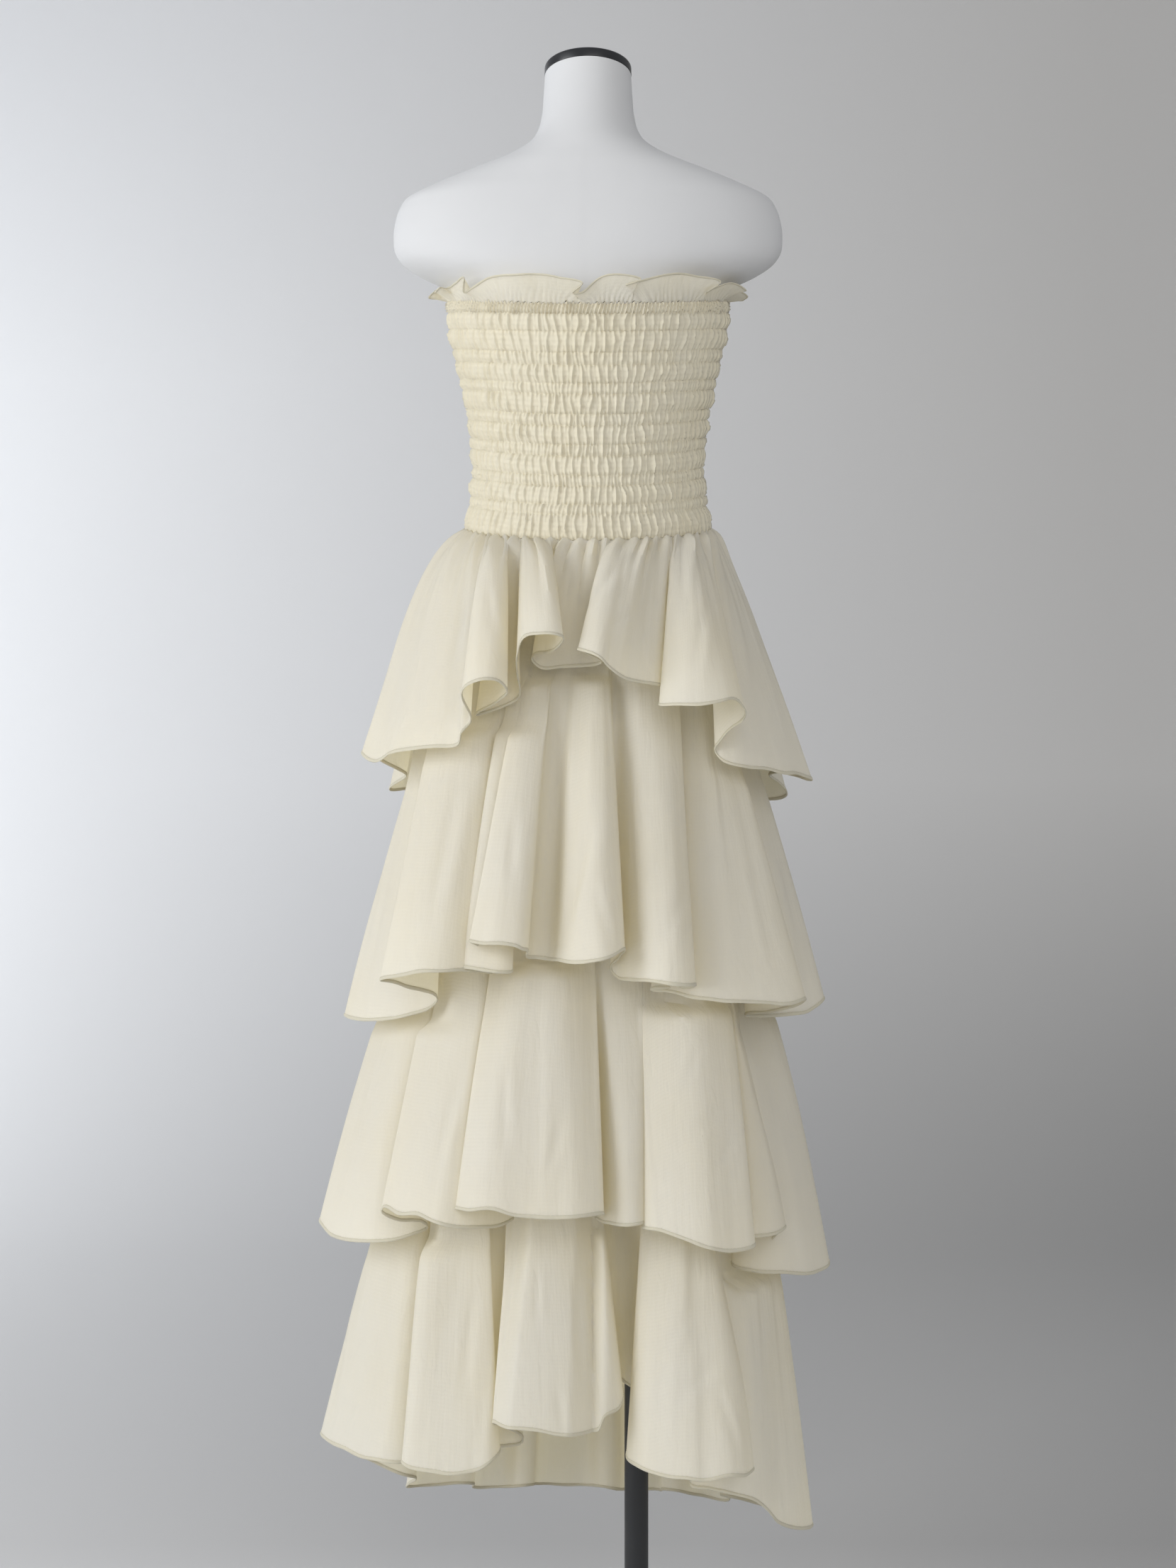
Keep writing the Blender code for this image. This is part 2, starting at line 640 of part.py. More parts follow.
def swollen(tier, down):
    """The share of the way out from seam to hem: quick just under the seam, then even."""
    quick = 1.0 - np.exp(-down / tier.swell_over)
    return tier.swell * quick / (1.0 - math.exp(-1.0 / tier.swell_over)) + (1.0 - tier.swell) * down


def tier_surface(tier, at, down, over):
    """Points of a tier by place along the hem and share of the way down, kept under the tier above."""
    table = underskirt_table()
    knots = hem_knots(tier)
    angles = seam_angles(knots, table, tier.seam, at)
    level = tier.seam - SEAM_GAP - (drop(angles) if tier.seam == WAIST_SEAM else 0.0)
    seam = around(table, angles, level, SEAM_SEAT)
    hem = hem_curve(knots, at)
    swell = swollen(tier, down)[..., None]
    points = seam * (1 - swell) + hem * swell
    points[..., 2] = (seam[..., 2] * (1 - down)) + hem[..., 2] * down
    if tier.gathers:
        fade = (down / GATHER_FADE) * np.exp(1.0 - down / GATHER_FADE)
        ripple = np.sin(tier.gathers * angles + 1.3 * np.sin(3.0 * angles))
        outward = points[..., :2] / np.linalg.norm(points[..., :2], axis=-1, keepdims=True)
        points[..., :2] += outward * (tier.gather_height * fade * ripple)[..., None]
    if over:
        points = over.kept_under(points)
    return kept_outside(points, table, SEAM_SEAT)


class Canopy:
    """The room under a tier: how far from the axis another layer may reach, by angle and height."""

    ANGLES = 120
    STEP = 0.010
    LOWEST = 0.10
    LEVELS = 120
    BESIDE = range(-3, 4)
    OPEN_SLOPE = 0.55
    SOFT = 0.003

    def __init__(self, points):
        angle = np.arctan2(points[..., 0], -points[..., 1]).ravel()
        reach = np.hypot(points[..., 0], points[..., 1]).ravel()
        column = np.floor((angle / math.tau % 1.0) * self.ANGLES).astype(int) % self.ANGLES
        level = ((points[..., 2].ravel() - self.LOWEST) / self.STEP).astype(int)
        room = np.full((self.LEVELS, self.ANGLES), np.inf)
        np.minimum.at(room, (level, column), reach)
        room = np.min([np.roll(room, k, axis=1) for k in self.BESIDE], axis=0)
        for i in range(self.LEVELS - 2, -1, -1):
            empty = np.isinf(room[i])
            room[i, empty] = room[i + 1, empty] + self.OPEN_SLOPE * self.STEP
        room = np.minimum(np.minimum(room, np.roll(room, -1, axis=0)), 1.0)
        self.room = np.mean([np.roll(room, k, axis=1) for k in self.BESIDE], axis=0)

    def kept_under(self, points):
        angle = np.arctan2(points[..., 0], -points[..., 1]) / math.tau % 1.0 * self.ANGLES - 0.5
        level = np.clip((points[..., 2] - self.LOWEST) / self.STEP - 0.5, 0, self.LEVELS - 1.001)
        i, j = np.floor(level).astype(int), np.floor(angle).astype(int)
        u, w = level - i, angle - j
        j, k = j % self.ANGLES, (j + 1) % self.ANGLES
        room = (self.room[i, j] * (1 - w) + self.room[i, k] * w) * (1 - u)
        room = room + (self.room[i + 1, j] * (1 - w) + self.room[i + 1, k] * w) * u
        limit = room - LAYER_CLEARANCE - WALL
        reach = np.hypot(points[..., 0], points[..., 1])
        kept = -self.SOFT * np.logaddexp(-reach / self.SOFT, -limit / self.SOFT)
        points[..., :2] *= (kept / reach)[..., None]
        return points


def normals(surface, at, down):
    """Outward directions of a surface by small steps along and down it."""
    step = 1e-4
    along = surface(at + step, down) - surface(at - step, down)
    below = surface(at, np.minimum(down + step, 1.0)) - surface(at, np.maximum(down - step, 0.0))
    across = np.cross(below, along)
    return across / np.linalg.norm(across, axis=-1, keepdims=True)


def tiers():
    over = None
    for number, tier in enumerate(TIERS, 1):
        canopy = over

        def surface(at, down):
            return tier_surface(tier, at, down, canopy)

        down = np.array(tier.down)[:, None]
        first = 2 * len(tier.back) - 1
        last = 2 * (len(tier.back) + len(tier.front)) - 1
        for side, start, end in (("back", -1, first), ("front", first, last)):
            columns = (end - start) // 2 * COLUMNS_PER_FOLD + 1
            at = np.linspace(start + HALF_SEAM, end - HALF_SEAM, columns)[None, :]
            at = at + 0.0 * down
            depth = down + 0.0 * at
            outer = surface(at, depth)
            inner = outer - WALL * normals(surface, at, depth)
            inner[0, :, 2] = outer[0, :, 2]
            cloth_wall(f"tier_{number}_{side}", outer, inner, VOILE)
        fine_at = np.linspace(-1, last, 900)[None, :]
        fine_down = np.linspace(0.0, 1.0, 90)[:, None]
        over = Canopy(surface(fine_at + 0.0 * fine_down, fine_down + 0.0 * fine_at))


form_torso()
neck_cap()
stand()
for is_front in (False, True):
    casing(is_front)
    frill(is_front)
    bodice(is_front)
    underskirt(is_front)
tiers()
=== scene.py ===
"""The looks of a strapless tiered voile dress on a limbless dress form.

Metres, +Z up, in the part's own frame. The dress's back faces -Y, where the camera stands.
"""

import math
from dataclasses import dataclass

import bpy
import numpy as np
from mathutils import Matrix, Vector


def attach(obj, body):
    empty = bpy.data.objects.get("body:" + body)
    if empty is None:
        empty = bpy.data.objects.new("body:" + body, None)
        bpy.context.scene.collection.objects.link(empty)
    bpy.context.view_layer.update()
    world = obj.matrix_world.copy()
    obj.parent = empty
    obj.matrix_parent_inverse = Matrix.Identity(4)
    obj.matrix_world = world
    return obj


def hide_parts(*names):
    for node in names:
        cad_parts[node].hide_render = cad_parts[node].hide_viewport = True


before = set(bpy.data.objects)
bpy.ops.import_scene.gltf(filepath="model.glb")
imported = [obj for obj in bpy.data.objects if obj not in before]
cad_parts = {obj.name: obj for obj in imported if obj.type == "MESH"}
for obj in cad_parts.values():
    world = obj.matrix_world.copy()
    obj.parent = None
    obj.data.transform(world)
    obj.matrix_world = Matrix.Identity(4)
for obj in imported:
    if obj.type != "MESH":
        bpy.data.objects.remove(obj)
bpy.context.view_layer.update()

# Sizes that the dress and the form share with the solids
SEAM_GAP = 0.0003
WALL = 0.0014
AXIS_X = -0.050
FORM_BOTTOM = 0.930
NECK_TOP = 1.7130
NECK_BEND_FROM = 1.6500
NECK_TILT = math.radians(10.0)
NECK_FORWARD = 0.008
CAP_RADIUS = 0.0450
CAP_THICK = 0.0105
BASE_THICK = 0.009
BASE_RADIUS = 0.165
POLE_RADIUS = 0.0123
EASE_OVER_FORM = 0.0012
CASING_EASE = 0.0018
BACK_DROP = 0.0210
FRONT_RISE = 0.0100
CASING_TOP = 1.4765
CASING_BOTTOM = 1.4675
WAIST_SEAM = 1.2430
PUFF_HEIGHT = 0.0025
GROOVE_HEIGHT = 0.0006
UNDERSKIRT_HEM = 0.6220
LAYER_CLEARANCE = 0.0100
SEAM_SEAT = SEAM_GAP + WALL + 0.0002
OPEN_BELOW = 1.2
HALF_SEAM_DEG = 0.02

# The cloth as it shows
VOILE_THICK = 0.00045
HEM_HEIGHT = 0.0037
HEM_THICK = 0.0018
FRILL_HEM_HEIGHT = 0.0024
FRILL_HEM_THICK = 0.0012
THREAD_RADIUS = 0.00020
STITCH_LIFT = 0.00035
THREADS_PER_METRE = 900.0
BODY_RADIUS = 0.13

# How the gathers die away below a seam, by distance down the cloth
SEAM_FLAT = 0.004
SCALLOP_REACH = 0.009
PLEAT_REACH = 0.030
FINE_REACH = 0.050
FOLD_REACH = 0.085
SIDE_SEAM_CALM = 0.030

# A crease stays on its own layer: within this depth, and this far along the cloth
NEAR_DEPTH = 0.020
NEAR_CLOTH = 0.045

# How finely the pieces are meshed
BODICE_COLUMNS = 490
BODICE_STEP = 0.0078
CASING_COLUMNS = 600
CASING_ROWS = 9
INSIDE_COLUMNS = 60
INSIDE_ROWS = 24
FRILL_COLUMNS = 360
FRILL_ROWS = 13
UNDERSKIRT_COLUMNS = 90
UNDERSKIRT_ROWS = 40
TIER_COLUMNS = {"back": 340, "front": 180}
TIER_ROWS = 52
CANOPY_COLUMNS = 1300
CANOPY_ROWS = 90
TORSO_SIDES = 144
SHOULDER_ROWS = 89
TRUNK_ROWS = 101
SHOULDER_BOTTOM = 1.50

# The photograph's view, and the wall behind
CAMERA_HEIGHT = 0.98
CAMERA_DISTANCE = 2.40
LENS = 53.33
WALL_Y = 4.6
WALL_BEND = 2.2
WALL_REACH = 7.0
WALL_TOP = 6.5
FLOOR_FRONT = -6.0

FORM_SECTIONS = (
    # height, half_width, back, front
    (1.7130, 0.0447, 0.0447, 0.0447),
    (1.6900, 0.0460, 0.0462, 0.0460),
    (1.6680, 0.0480, 0.0490, 0.0475),
    (1.6520, 0.0525, 0.0540, 0.0510),
    (1.6400, 0.0610, 0.0590, 0.0540),
    (1.6250, 0.0866, 0.0640, 0.0580),
    (1.6100, 0.1265, 0.0690, 0.0615),
    (1.5960, 0.1620, 0.0725, 0.0650),
    (1.5835, 0.1870, 0.0760, 0.0680),
    (1.5726, 0.1946, 0.0785, 0.0710),
    (1.5588, 0.1990, 0.0815, 0.0750),
    (1.5430, 0.2007, 0.0845, 0.0800),
    (1.5250, 0.1976, 0.0875, 0.0860),
    (1.5155, 0.1900, 0.0890, 0.0895),
    (1.5050, 0.1730, 0.0903, 0.0930),
    (1.4970, 0.1555, 0.0912, 0.0965),
    (1.4890, 0.1425, 0.0920, 0.1000),
    (1.4780, 0.1405, 0.0932, 0.1050),
    (1.4495, 0.1375, 0.0945, 0.1130),
    (1.4240, 0.1323, 0.0940, 0.1180),
    (1.3980, 0.1265, 0.0925, 0.1190),
    (1.3730, 0.1209, 0.0900, 0.1130),
    (1.3470, 0.1167, 0.0875, 0.1035),
    (1.3240, 0.1142, 0.0858, 0.0955),
    (1.3060, 0.1132, 0.0852, 0.0912),
    (1.2860, 0.1146, 0.0864, 0.0898),
    (1.2570, 0.1185, 0.0896, 0.0903),
    (1.2280, 0.1255, 0.0948, 0.0925),
    (1.1700, 0.1385, 0.1060, 0.0970),
    (1.1000, 0.1480, 0.1150, 0.1010),
    (1.0400, 0.1500, 0.1175, 0.1030),
    (0.9800, 0.1420, 0.1120, 0.0990),
    (0.9450, 0.1190, 0.0930, 0.0830),
    (0.9300, 0.0860, 0.0660, 0.0600),
)

UNDERSKIRT_SECTIONS = (
    # height, half_width, back, front
    (1.1700, 0.1440, 0.1115, 0.1030),
    (1.1000, 0.1530, 0.1205, 0.1080),
    (1.0200, 0.1560, 0.1230, 0.1100),
    (0.8400, 0.1575, 0.1240, 0.1120),
    (0.6220, 0.1600, 0.1250, 0.1150),
)

# The elastic threads of the shirring, as a share of the way from the casing to the waist seam
ELASTIC_ROWS = (
    0.000, 0.078, 0.170, 0.226, 0.306, 0.354, 0.441, 0.492, 0.575, 0.626, 0.712, 0.760, 0.843, 0.888, 1.000,
)


@dataclass
class Fold:
    """One fold of a hem: the crest that stands out, and the valley that follows it to the right."""

    x: float
    y: float
    z: float
    left: float
    right: float
    valley_x: float
    valley_y: float
    valley_z: float
    valley_full: float


@dataclass
class Tier:
    """A gathered flounce: its seam, how it swells below the seam, and its hem on either side."""

    seam: float
    swell: float
    swell_over: float
    right_hangs: float
    gathers: int
    gather_height: float
    back: tuple
    front: tuple


# The back's rows are places along the hem, from the left side seam round the back to the right one:
# x, y, z and the angle on the seam above, in degrees. The front's rows are its folds.
TIERS = (
    Tier(
        seam=WAIST_SEAM,
        swell=0.32,
        swell_over=0.12,
        right_hangs=0.22,
        gathers=60,
        gather_height=0.0110,
        back=(
            (-0.229, -0.045, 1.011, -82), (-0.212, -0.080, 1.001, -77), (-0.196, -0.108, 1.009, -72),
            (-0.169, -0.138, 1.013, -65), (-0.148, -0.152, 1.015, -60), (-0.126, -0.166, 1.016, -54),
            (-0.122, -0.168, 1.028, -52), (-0.114, -0.167, 1.039, -50.5), (-0.116, -0.176, 1.051, -49.5),
            (-0.120, -0.190, 1.064, -48.5), (-0.114, -0.202, 1.073, -47), (-0.100, -0.208, 1.079, -45),
            (-0.085, -0.205, 1.077, -42), (-0.077, -0.192, 1.066, -39), (-0.089, -0.166, 1.058, -37),
            (-0.109, -0.144, 1.047, -35), (-0.089, -0.138, 1.052, -33.5), (-0.072, -0.142, 1.058, -32),
            (-0.066, -0.152, 1.066, -31.3), (-0.069, -0.170, 1.089, -30.8), (-0.066, -0.186, 1.110, -30),
            (-0.060, -0.198, 1.120, -29), (-0.046, -0.207, 1.122, -27), (-0.032, -0.208, 1.122, -23),
            (-0.023, -0.200, 1.118, -19.5), (-0.027, -0.184, 1.111, -17), (-0.040, -0.162, 1.106, -15),
            (-0.054, -0.146, 1.101, -13), (-0.045, -0.136, 1.092, -9), (-0.029, -0.136, 1.092, -4),
            (-0.004, -0.136, 1.094, 3), (0.013, -0.146, 1.097, 7.5), (-0.001, -0.170, 1.104, 9.5),
            (-0.010, -0.190, 1.108, 11), (0.001, -0.203, 1.104, 14), (0.012, -0.208, 1.098, 18),
            (0.020, -0.204, 1.089, 22), (0.031, -0.196, 1.081, 26), (0.049, -0.184, 1.077, 31),
            (0.070, -0.164, 1.074, 36), (0.079, -0.150, 1.069, 38.5), (0.073, -0.164, 1.060, 40),
            (0.068, -0.182, 1.055, 41.5), (0.083, -0.200, 1.055, 44), (0.102, -0.208, 1.055, 49),
            (0.121, -0.205, 1.057, 54), (0.140, -0.192, 1.060, 58.5), (0.149, -0.178, 1.051, 61),
            (0.149, -0.164, 1.041, 63), (0.137, -0.148, 1.030, 65), (0.128, -0.136, 1.020, 67),
            (0.125, -0.128, 1.012, 69), (0.133, -0.130, 1.002, 71), (0.156, -0.124, 0.996, 75),
            (0.185, -0.104, 0.992, 79), (0.212, -0.076, 0.988, 83), (0.227, -0.046, 0.984, 86),
            (0.190, 0.020, 0.990, 90),
        ),
        front=(
            Fold(0.206, 0.088, 0.964, 1.5, 1.5, 0.146, 0.104, 0.972, 0.8),
            Fold(0.140, 0.160, 0.952, 1.5, 1.6, 0.090, 0.138, 0.962, 0.8),
            Fold(0.064, 0.186, 0.956, 1.6, 1.4, 0.030, 0.142, 0.966, 0.9),
            Fold(-0.006, 0.196, 0.950, 1.5, 1.8, -0.046, 0.142, 0.962, 0.8),
            Fold(-0.080, 0.182, 0.958, 1.6, 1.5, -0.104, 0.134, 0.968, 0.8),
            Fold(-0.150, 0.152, 0.966, 1.5, 1.6, -0.152, 0.092, 0.984, 0.8),
            Fold(-0.208, 0.078, 0.972, 1.4, 1.2, -0.190, 0.010, 0.990, 0.8),
        ),
    ),
    Tier(
        seam=1.126,
        swell=0.12,
        swell_over=0.06,
        right_hangs=0.22,
        gathers=48,
        gather_height=0.0030,
        back=(
            (-0.249, -0.025, 0.743, -84), (-0.232, -0.060, 0.742, -79), (-0.210, -0.092, 0.745, -74),
            (-0.182, -0.114, 0.750, -69), (-0.159, -0.120, 0.758, -66), (-0.149, -0.122, 0.769, -64),
            (-0.162, -0.138, 0.777, -63), (-0.183, -0.158, 0.785, -62), (-0.201, -0.180, 0.792, -60.5),
            (-0.187, -0.196, 0.797, -57), (-0.164, -0.206, 0.801, -52), (-0.139, -0.206, 0.803, -45),
            (-0.120, -0.196, 0.803, -38), (-0.102, -0.178, 0.800, -33), (-0.094, -0.162, 0.798, -30),
            (-0.109, -0.172, 0.802, -28), (-0.123, -0.188, 0.805, -27), (-0.101, -0.200, 0.803, -25),
            (-0.081, -0.200, 0.801, -23), (-0.072, -0.188, 0.803, -21.5), (-0.085, -0.182, 0.815, -21),
            (-0.102, -0.190, 0.824, -20.5), (-0.113, -0.202, 0.830, -20), (-0.101, -0.214, 0.829, -18.5),
            (-0.085, -0.221, 0.830, -17), (-0.072, -0.221, 0.827, -15), (-0.063, -0.214, 0.823, -13.5),
            (-0.057, -0.199, 0.821, -12), (-0.059, -0.176, 0.815, -10.5), (-0.050, -0.160, 0.811, -8),
            (-0.037, -0.162, 0.809, -5), (-0.027, -0.186, 0.810, -3), (-0.013, -0.206, 0.810, -1),
            (0.002, -0.217, 0.812, 1), (0.019, -0.217, 0.816, 3.5), (0.035, -0.200, 0.822, 6),
            (0.030, -0.166, 0.812, 7.5), (0.022, -0.146, 0.801, 9.5), (0.028, -0.148, 0.792, 11),
            (0.040, -0.174, 0.791, 14), (0.056, -0.200, 0.792, 18), (0.075, -0.211, 0.790, 24),
            (0.092, -0.207, 0.788, 30), (0.103, -0.190, 0.787, 34.5), (0.091, -0.160, 0.783, 36),
            (0.067, -0.146, 0.780, 38), (0.062, -0.142, 0.778, 39.5), (0.077, -0.152, 0.778, 41),
            (0.101, -0.168, 0.775, 44), (0.131, -0.174, 0.770, 47), (0.165, -0.164, 0.768, 50),
            (0.197, -0.148, 0.767, 52.5), (0.213, -0.128, 0.769, 55), (0.203, -0.104, 0.759, 59),
            (0.178, -0.090, 0.752, 63), (0.157, -0.082, 0.750, 67), (0.176, -0.074, 0.746, 71),
            (0.205, -0.060, 0.747, 75), (0.228, -0.044, 0.751, 80), (0.242, -0.020, 0.760, 85),
            (0.206, 0.034, 0.750, 90),
        ),
        front=(
            Fold(0.206, 0.104, 0.734, 1.4, 1.6, 0.148, 0.110, 0.745, 0.8),
            Fold(0.144, 0.168, 0.724, 1.5, 1.6, 0.092, 0.142, 0.736, 0.8),
            Fold(0.060, 0.196, 0.720, 1.7, 1.5, 0.022, 0.150, 0.732, 0.8),
            Fold(-0.022, 0.204, 0.718, 1.5, 1.7, -0.058, 0.150, 0.730, 0.8),
            Fold(-0.098, 0.188, 0.722, 1.6, 1.5, -0.116, 0.138, 0.734, 0.8),
            Fold(-0.172, 0.146, 0.728, 1.5, 1.5, -0.176, 0.084, 0.742, 0.8),
            Fold(-0.236, 0.064, 0.734, 1.3, 1.1, -0.232, 0.012, 0.744, 0.8),
        ),
    ),
    Tier(
        seam=0.862,
        swell=0.34,
        swell_over=0.11,
        right_hangs=0.10,
        gathers=48,
        gather_height=0.0030,
        back=(
            (-0.273, -0.035, 0.535, -84), (-0.260, -0.070, 0.529, -79), (-0.243, -0.100, 0.528, -76),
            (-0.221, -0.125, 0.530, -73), (-0.197, -0.136, 0.533, -70), (-0.173, -0.134, 0.539, -67),
            (-0.158, -0.126, 0.546, -65.5), (-0.182, -0.144, 0.556, -64), (-0.211, -0.170, 0.570, -62.5),
            (-0.200, -0.188, 0.568, -59), (-0.178, -0.202, 0.569, -55), (-0.155, -0.205, 0.564, -49),
            (-0.129, -0.198, 0.560, -43), (-0.103, -0.182, 0.556, -37), (-0.081, -0.160, 0.555, -33),
            (-0.074, -0.148, 0.558, -31.5), (-0.104, -0.170, 0.567, -30), (-0.127, -0.194, 0.576, -28.5),
            (-0.113, -0.209, 0.577, -26), (-0.090, -0.216, 0.578, -21), (-0.064, -0.214, 0.573, -16),
            (-0.038, -0.214, 0.571, -11), (-0.008, -0.212, 0.572, -5), (0.014, -0.194, 0.572, 0),
            (0.010, -0.158, 0.563, 1.5), (0.007, -0.140, 0.557, 3), (0.012, -0.150, 0.556, 5),
            (0.021, -0.174, 0.557, 8), (0.036, -0.190, 0.558, 13), (0.052, -0.186, 0.559, 18),
            (0.061, -0.160, 0.556, 20), (0.058, -0.162, 0.555, 21.5), (0.052, -0.180, 0.556, 23),
            (0.069, -0.200, 0.556, 27), (0.091, -0.209, 0.549, 33), (0.116, -0.209, 0.541, 39),
            (0.139, -0.200, 0.537, 45), (0.159, -0.180, 0.539, 50), (0.153, -0.148, 0.538, 52),
            (0.147, -0.134, 0.537, 54), (0.162, -0.140, 0.538, 56), (0.183, -0.136, 0.541, 60),
            (0.195, -0.116, 0.544, 64), (0.179, -0.088, 0.524, 66), (0.152, -0.082, 0.506, 68),
            (0.143, -0.088, 0.501, 70), (0.165, -0.098, 0.497, 73), (0.197, -0.092, 0.493, 76),
            (0.229, -0.066, 0.488, 80), (0.245, -0.030, 0.492, 85), (0.206, 0.020, 0.492, 90),
        ),
        front=(
            Fold(0.212, 0.094, 0.474, 1.4, 1.5, 0.156, 0.108, 0.482, 0.8),
            Fold(0.150, 0.174, 0.464, 1.5, 1.6, 0.094, 0.148, 0.474, 0.8),
            Fold(0.062, 0.206, 0.460, 1.6, 1.5, 0.024, 0.156, 0.472, 0.8),
            Fold(-0.024, 0.212, 0.462, 1.5, 1.8, -0.064, 0.156, 0.474, 0.8),
            Fold(-0.106, 0.196, 0.468, 1.6, 1.6, -0.130, 0.142, 0.480, 0.8),
            Fold(-0.188, 0.152, 0.480, 1.5, 1.5, -0.186, 0.084, 0.494, 0.8),
            Fold(-0.246, 0.062, 0.500, 1.3, 1.1, -0.226, 0.012, 0.516, 0.8),
        ),
    ),
    Tier(
        seam=UNDERSKIRT_HEM,
        swell=0.40,
        swell_over=0.11,
        right_hangs=0.10,
        gathers=48,
        gather_height=0.0030,
        back=(
            (-0.268, -0.050, 0.324, -84), (-0.258, -0.085, 0.324, -79), (-0.240, -0.110, 0.323, -75),
            (-0.218, -0.130, 0.321, -71), (-0.196, -0.142, 0.320, -67), (-0.174, -0.140, 0.319, -64.5),
            (-0.162, -0.128, 0.317, -63), (-0.173, -0.150, 0.327, -62), (-0.178, -0.176, 0.331, -61),
            (-0.167, -0.198, 0.327, -58), (-0.143, -0.211, 0.326, -55), (-0.117, -0.211, 0.329, -51),
            (-0.095, -0.200, 0.334, -47.5), (-0.084, -0.180, 0.340, -44.5), (-0.087, -0.155, 0.338, -42),
            (-0.078, -0.140, 0.335, -39), (-0.064, -0.134, 0.337, -36), (-0.070, -0.150, 0.350, -33.5),
            (-0.085, -0.176, 0.365, -32), (-0.093, -0.196, 0.372, -30.5), (-0.079, -0.213, 0.371, -28),
            (-0.057, -0.221, 0.370, -24), (-0.031, -0.221, 0.366, -19), (-0.004, -0.217, 0.364, -14),
            (0.010, -0.207, 0.366, -11), (0.016, -0.196, 0.378, -9), (0.029, -0.182, 0.381, -7),
            (0.034, -0.164, 0.388, -5), (0.033, -0.134, 0.393, -2.5), (0.031, -0.104, 0.391, 0),
            (0.037, -0.084, 0.383, 3), (0.049, -0.080, 0.374, 8), (0.055, -0.094, 0.368, 13),
            (0.051, -0.116, 0.354, 18), (0.041, -0.142, 0.337, 22), (0.037, -0.162, 0.330, 25),
            (0.047, -0.186, 0.329, 28), (0.065, -0.203, 0.327, 32), (0.089, -0.213, 0.325, 37),
            (0.110, -0.213, 0.322, 42), (0.131, -0.208, 0.326, 47), (0.150, -0.197, 0.323, 51),
            (0.159, -0.180, 0.325, 53.5), (0.147, -0.152, 0.313, 55.5), (0.116, -0.136, 0.301, 58),
            (0.098, -0.130, 0.296, 60), (0.117, -0.138, 0.294, 62.5), (0.142, -0.140, 0.289, 66),
            (0.170, -0.128, 0.274, 70), (0.186, -0.108, 0.252, 75), (0.206, -0.080, 0.236, 80),
            (0.229, -0.035, 0.225, 85), (0.198, 0.008, 0.224, 90),
        ),
        front=(
            Fold(0.204, 0.088, 0.200, 1.4, 1.5, 0.148, 0.106, 0.212, 0.8),
            Fold(0.146, 0.174, 0.186, 1.5, 1.6, 0.090, 0.150, 0.204, 0.8),
            Fold(0.062, 0.210, 0.186, 1.7, 1.5, 0.022, 0.158, 0.204, 0.8),
            Fold(-0.026, 0.214, 0.190, 1.5, 1.8, -0.068, 0.158, 0.206, 0.8),
            Fold(-0.112, 0.196, 0.192, 1.6, 1.6, -0.132, 0.142, 0.214, 0.8),
            Fold(-0.190, 0.154, 0.206, 1.5, 1.5, -0.188, 0.084, 0.238, 0.8),
            Fold(-0.248, 0.060, 0.270, 1.3, 1.1, -0.224, 0.004, 0.300, 0.8),
        ),
    ),
)

# The frill round the back and then the front. The edge stands off its foot where the frill folds over.
FRILL_WAVES = (
    # foot_deg, edge_deg, lean_out, rise
    (-96.0, -97.0, 0.019, 0.006),
    (-88.0, -85.0, 0.021, 0.005),
    (-83.0, -88.0, 0.016, 0.014),
    (-77.0, -76.0, 0.019, 0.009),
    (-71.0, -67.0, 0.022, 0.012),
    (-66.0, -70.0, 0.012, 0.015),
    (-60.0, -60.0, 0.012, 0.019),
    (-54.5, -50.0, 0.020, 0.0205),
    (-51.0, -54.0, 0.013, 0.0095),
    (-47.5, -51.0, 0.010, 0.0140),
    (-42.0, -43.0, 0.011, 0.0220),
    (-28.0, -28.0, 0.014, 0.0265),
    (-12.0, -11.0, 0.015, 0.024),
    (-5.5, -2.0, 0.019, 0.0160),
    (-2.5, -6.0, 0.011, 0.0095),
    (0.5, -2.5, 0.009, 0.0100),
    (5.0, 4.0, 0.013, 0.0235),
    (12.0, 14.0, 0.018, 0.0255),
    (17.0, 19.0, 0.019, 0.0205),
    (20.0, 14.5, 0.011, 0.0165),
    (30.0, 29.0, 0.013, 0.026),
    (44.0, 44.0, 0.015, 0.025),
    (51.0, 55.0, 0.021, 0.0185),
    (55.0, 51.0, 0.012, 0.0080),
    (59.0, 56.0, 0.011, 0.0120),
    (66.0, 66.0, 0.016, 0.0185),
    (75.0, 79.0, 0.023, 0.012),
    (80.0, 76.0, 0.013, 0.012),
    (87.0, 87.0, 0.022, 0.007),
    (96.0, 97.0, 0.018, 0.004),
    (108.0, 105.0, 0.009, 0.009),
    (122.0, 124.0, 0.018, 0.015),
    (136.0, 133.0, 0.008, 0.018),
    (152.0, 153.0, 0.015, 0.026),
    (168.0, 165.0, 0.008, 0.021),
    (184.0, 185.0, 0.016, 0.026),
    (199.0, 196.0, 0.008, 0.020),
    (213.0, 214.0, 0.015, 0.025),
    (228.0, 225.0, 0.008, 0.018),
    (241.0, 243.0, 0.018, 0.015),
    (253.0, 250.0, 0.010, 0.009),
)


@dataclass
class Crease:
    """A soft line left in the cloth: its place by seam angle and share down, its size and its lean."""

    tier: int
    seam_deg: float
    down: float
    length: float
    width: float
    lean_deg: float
    depth: float


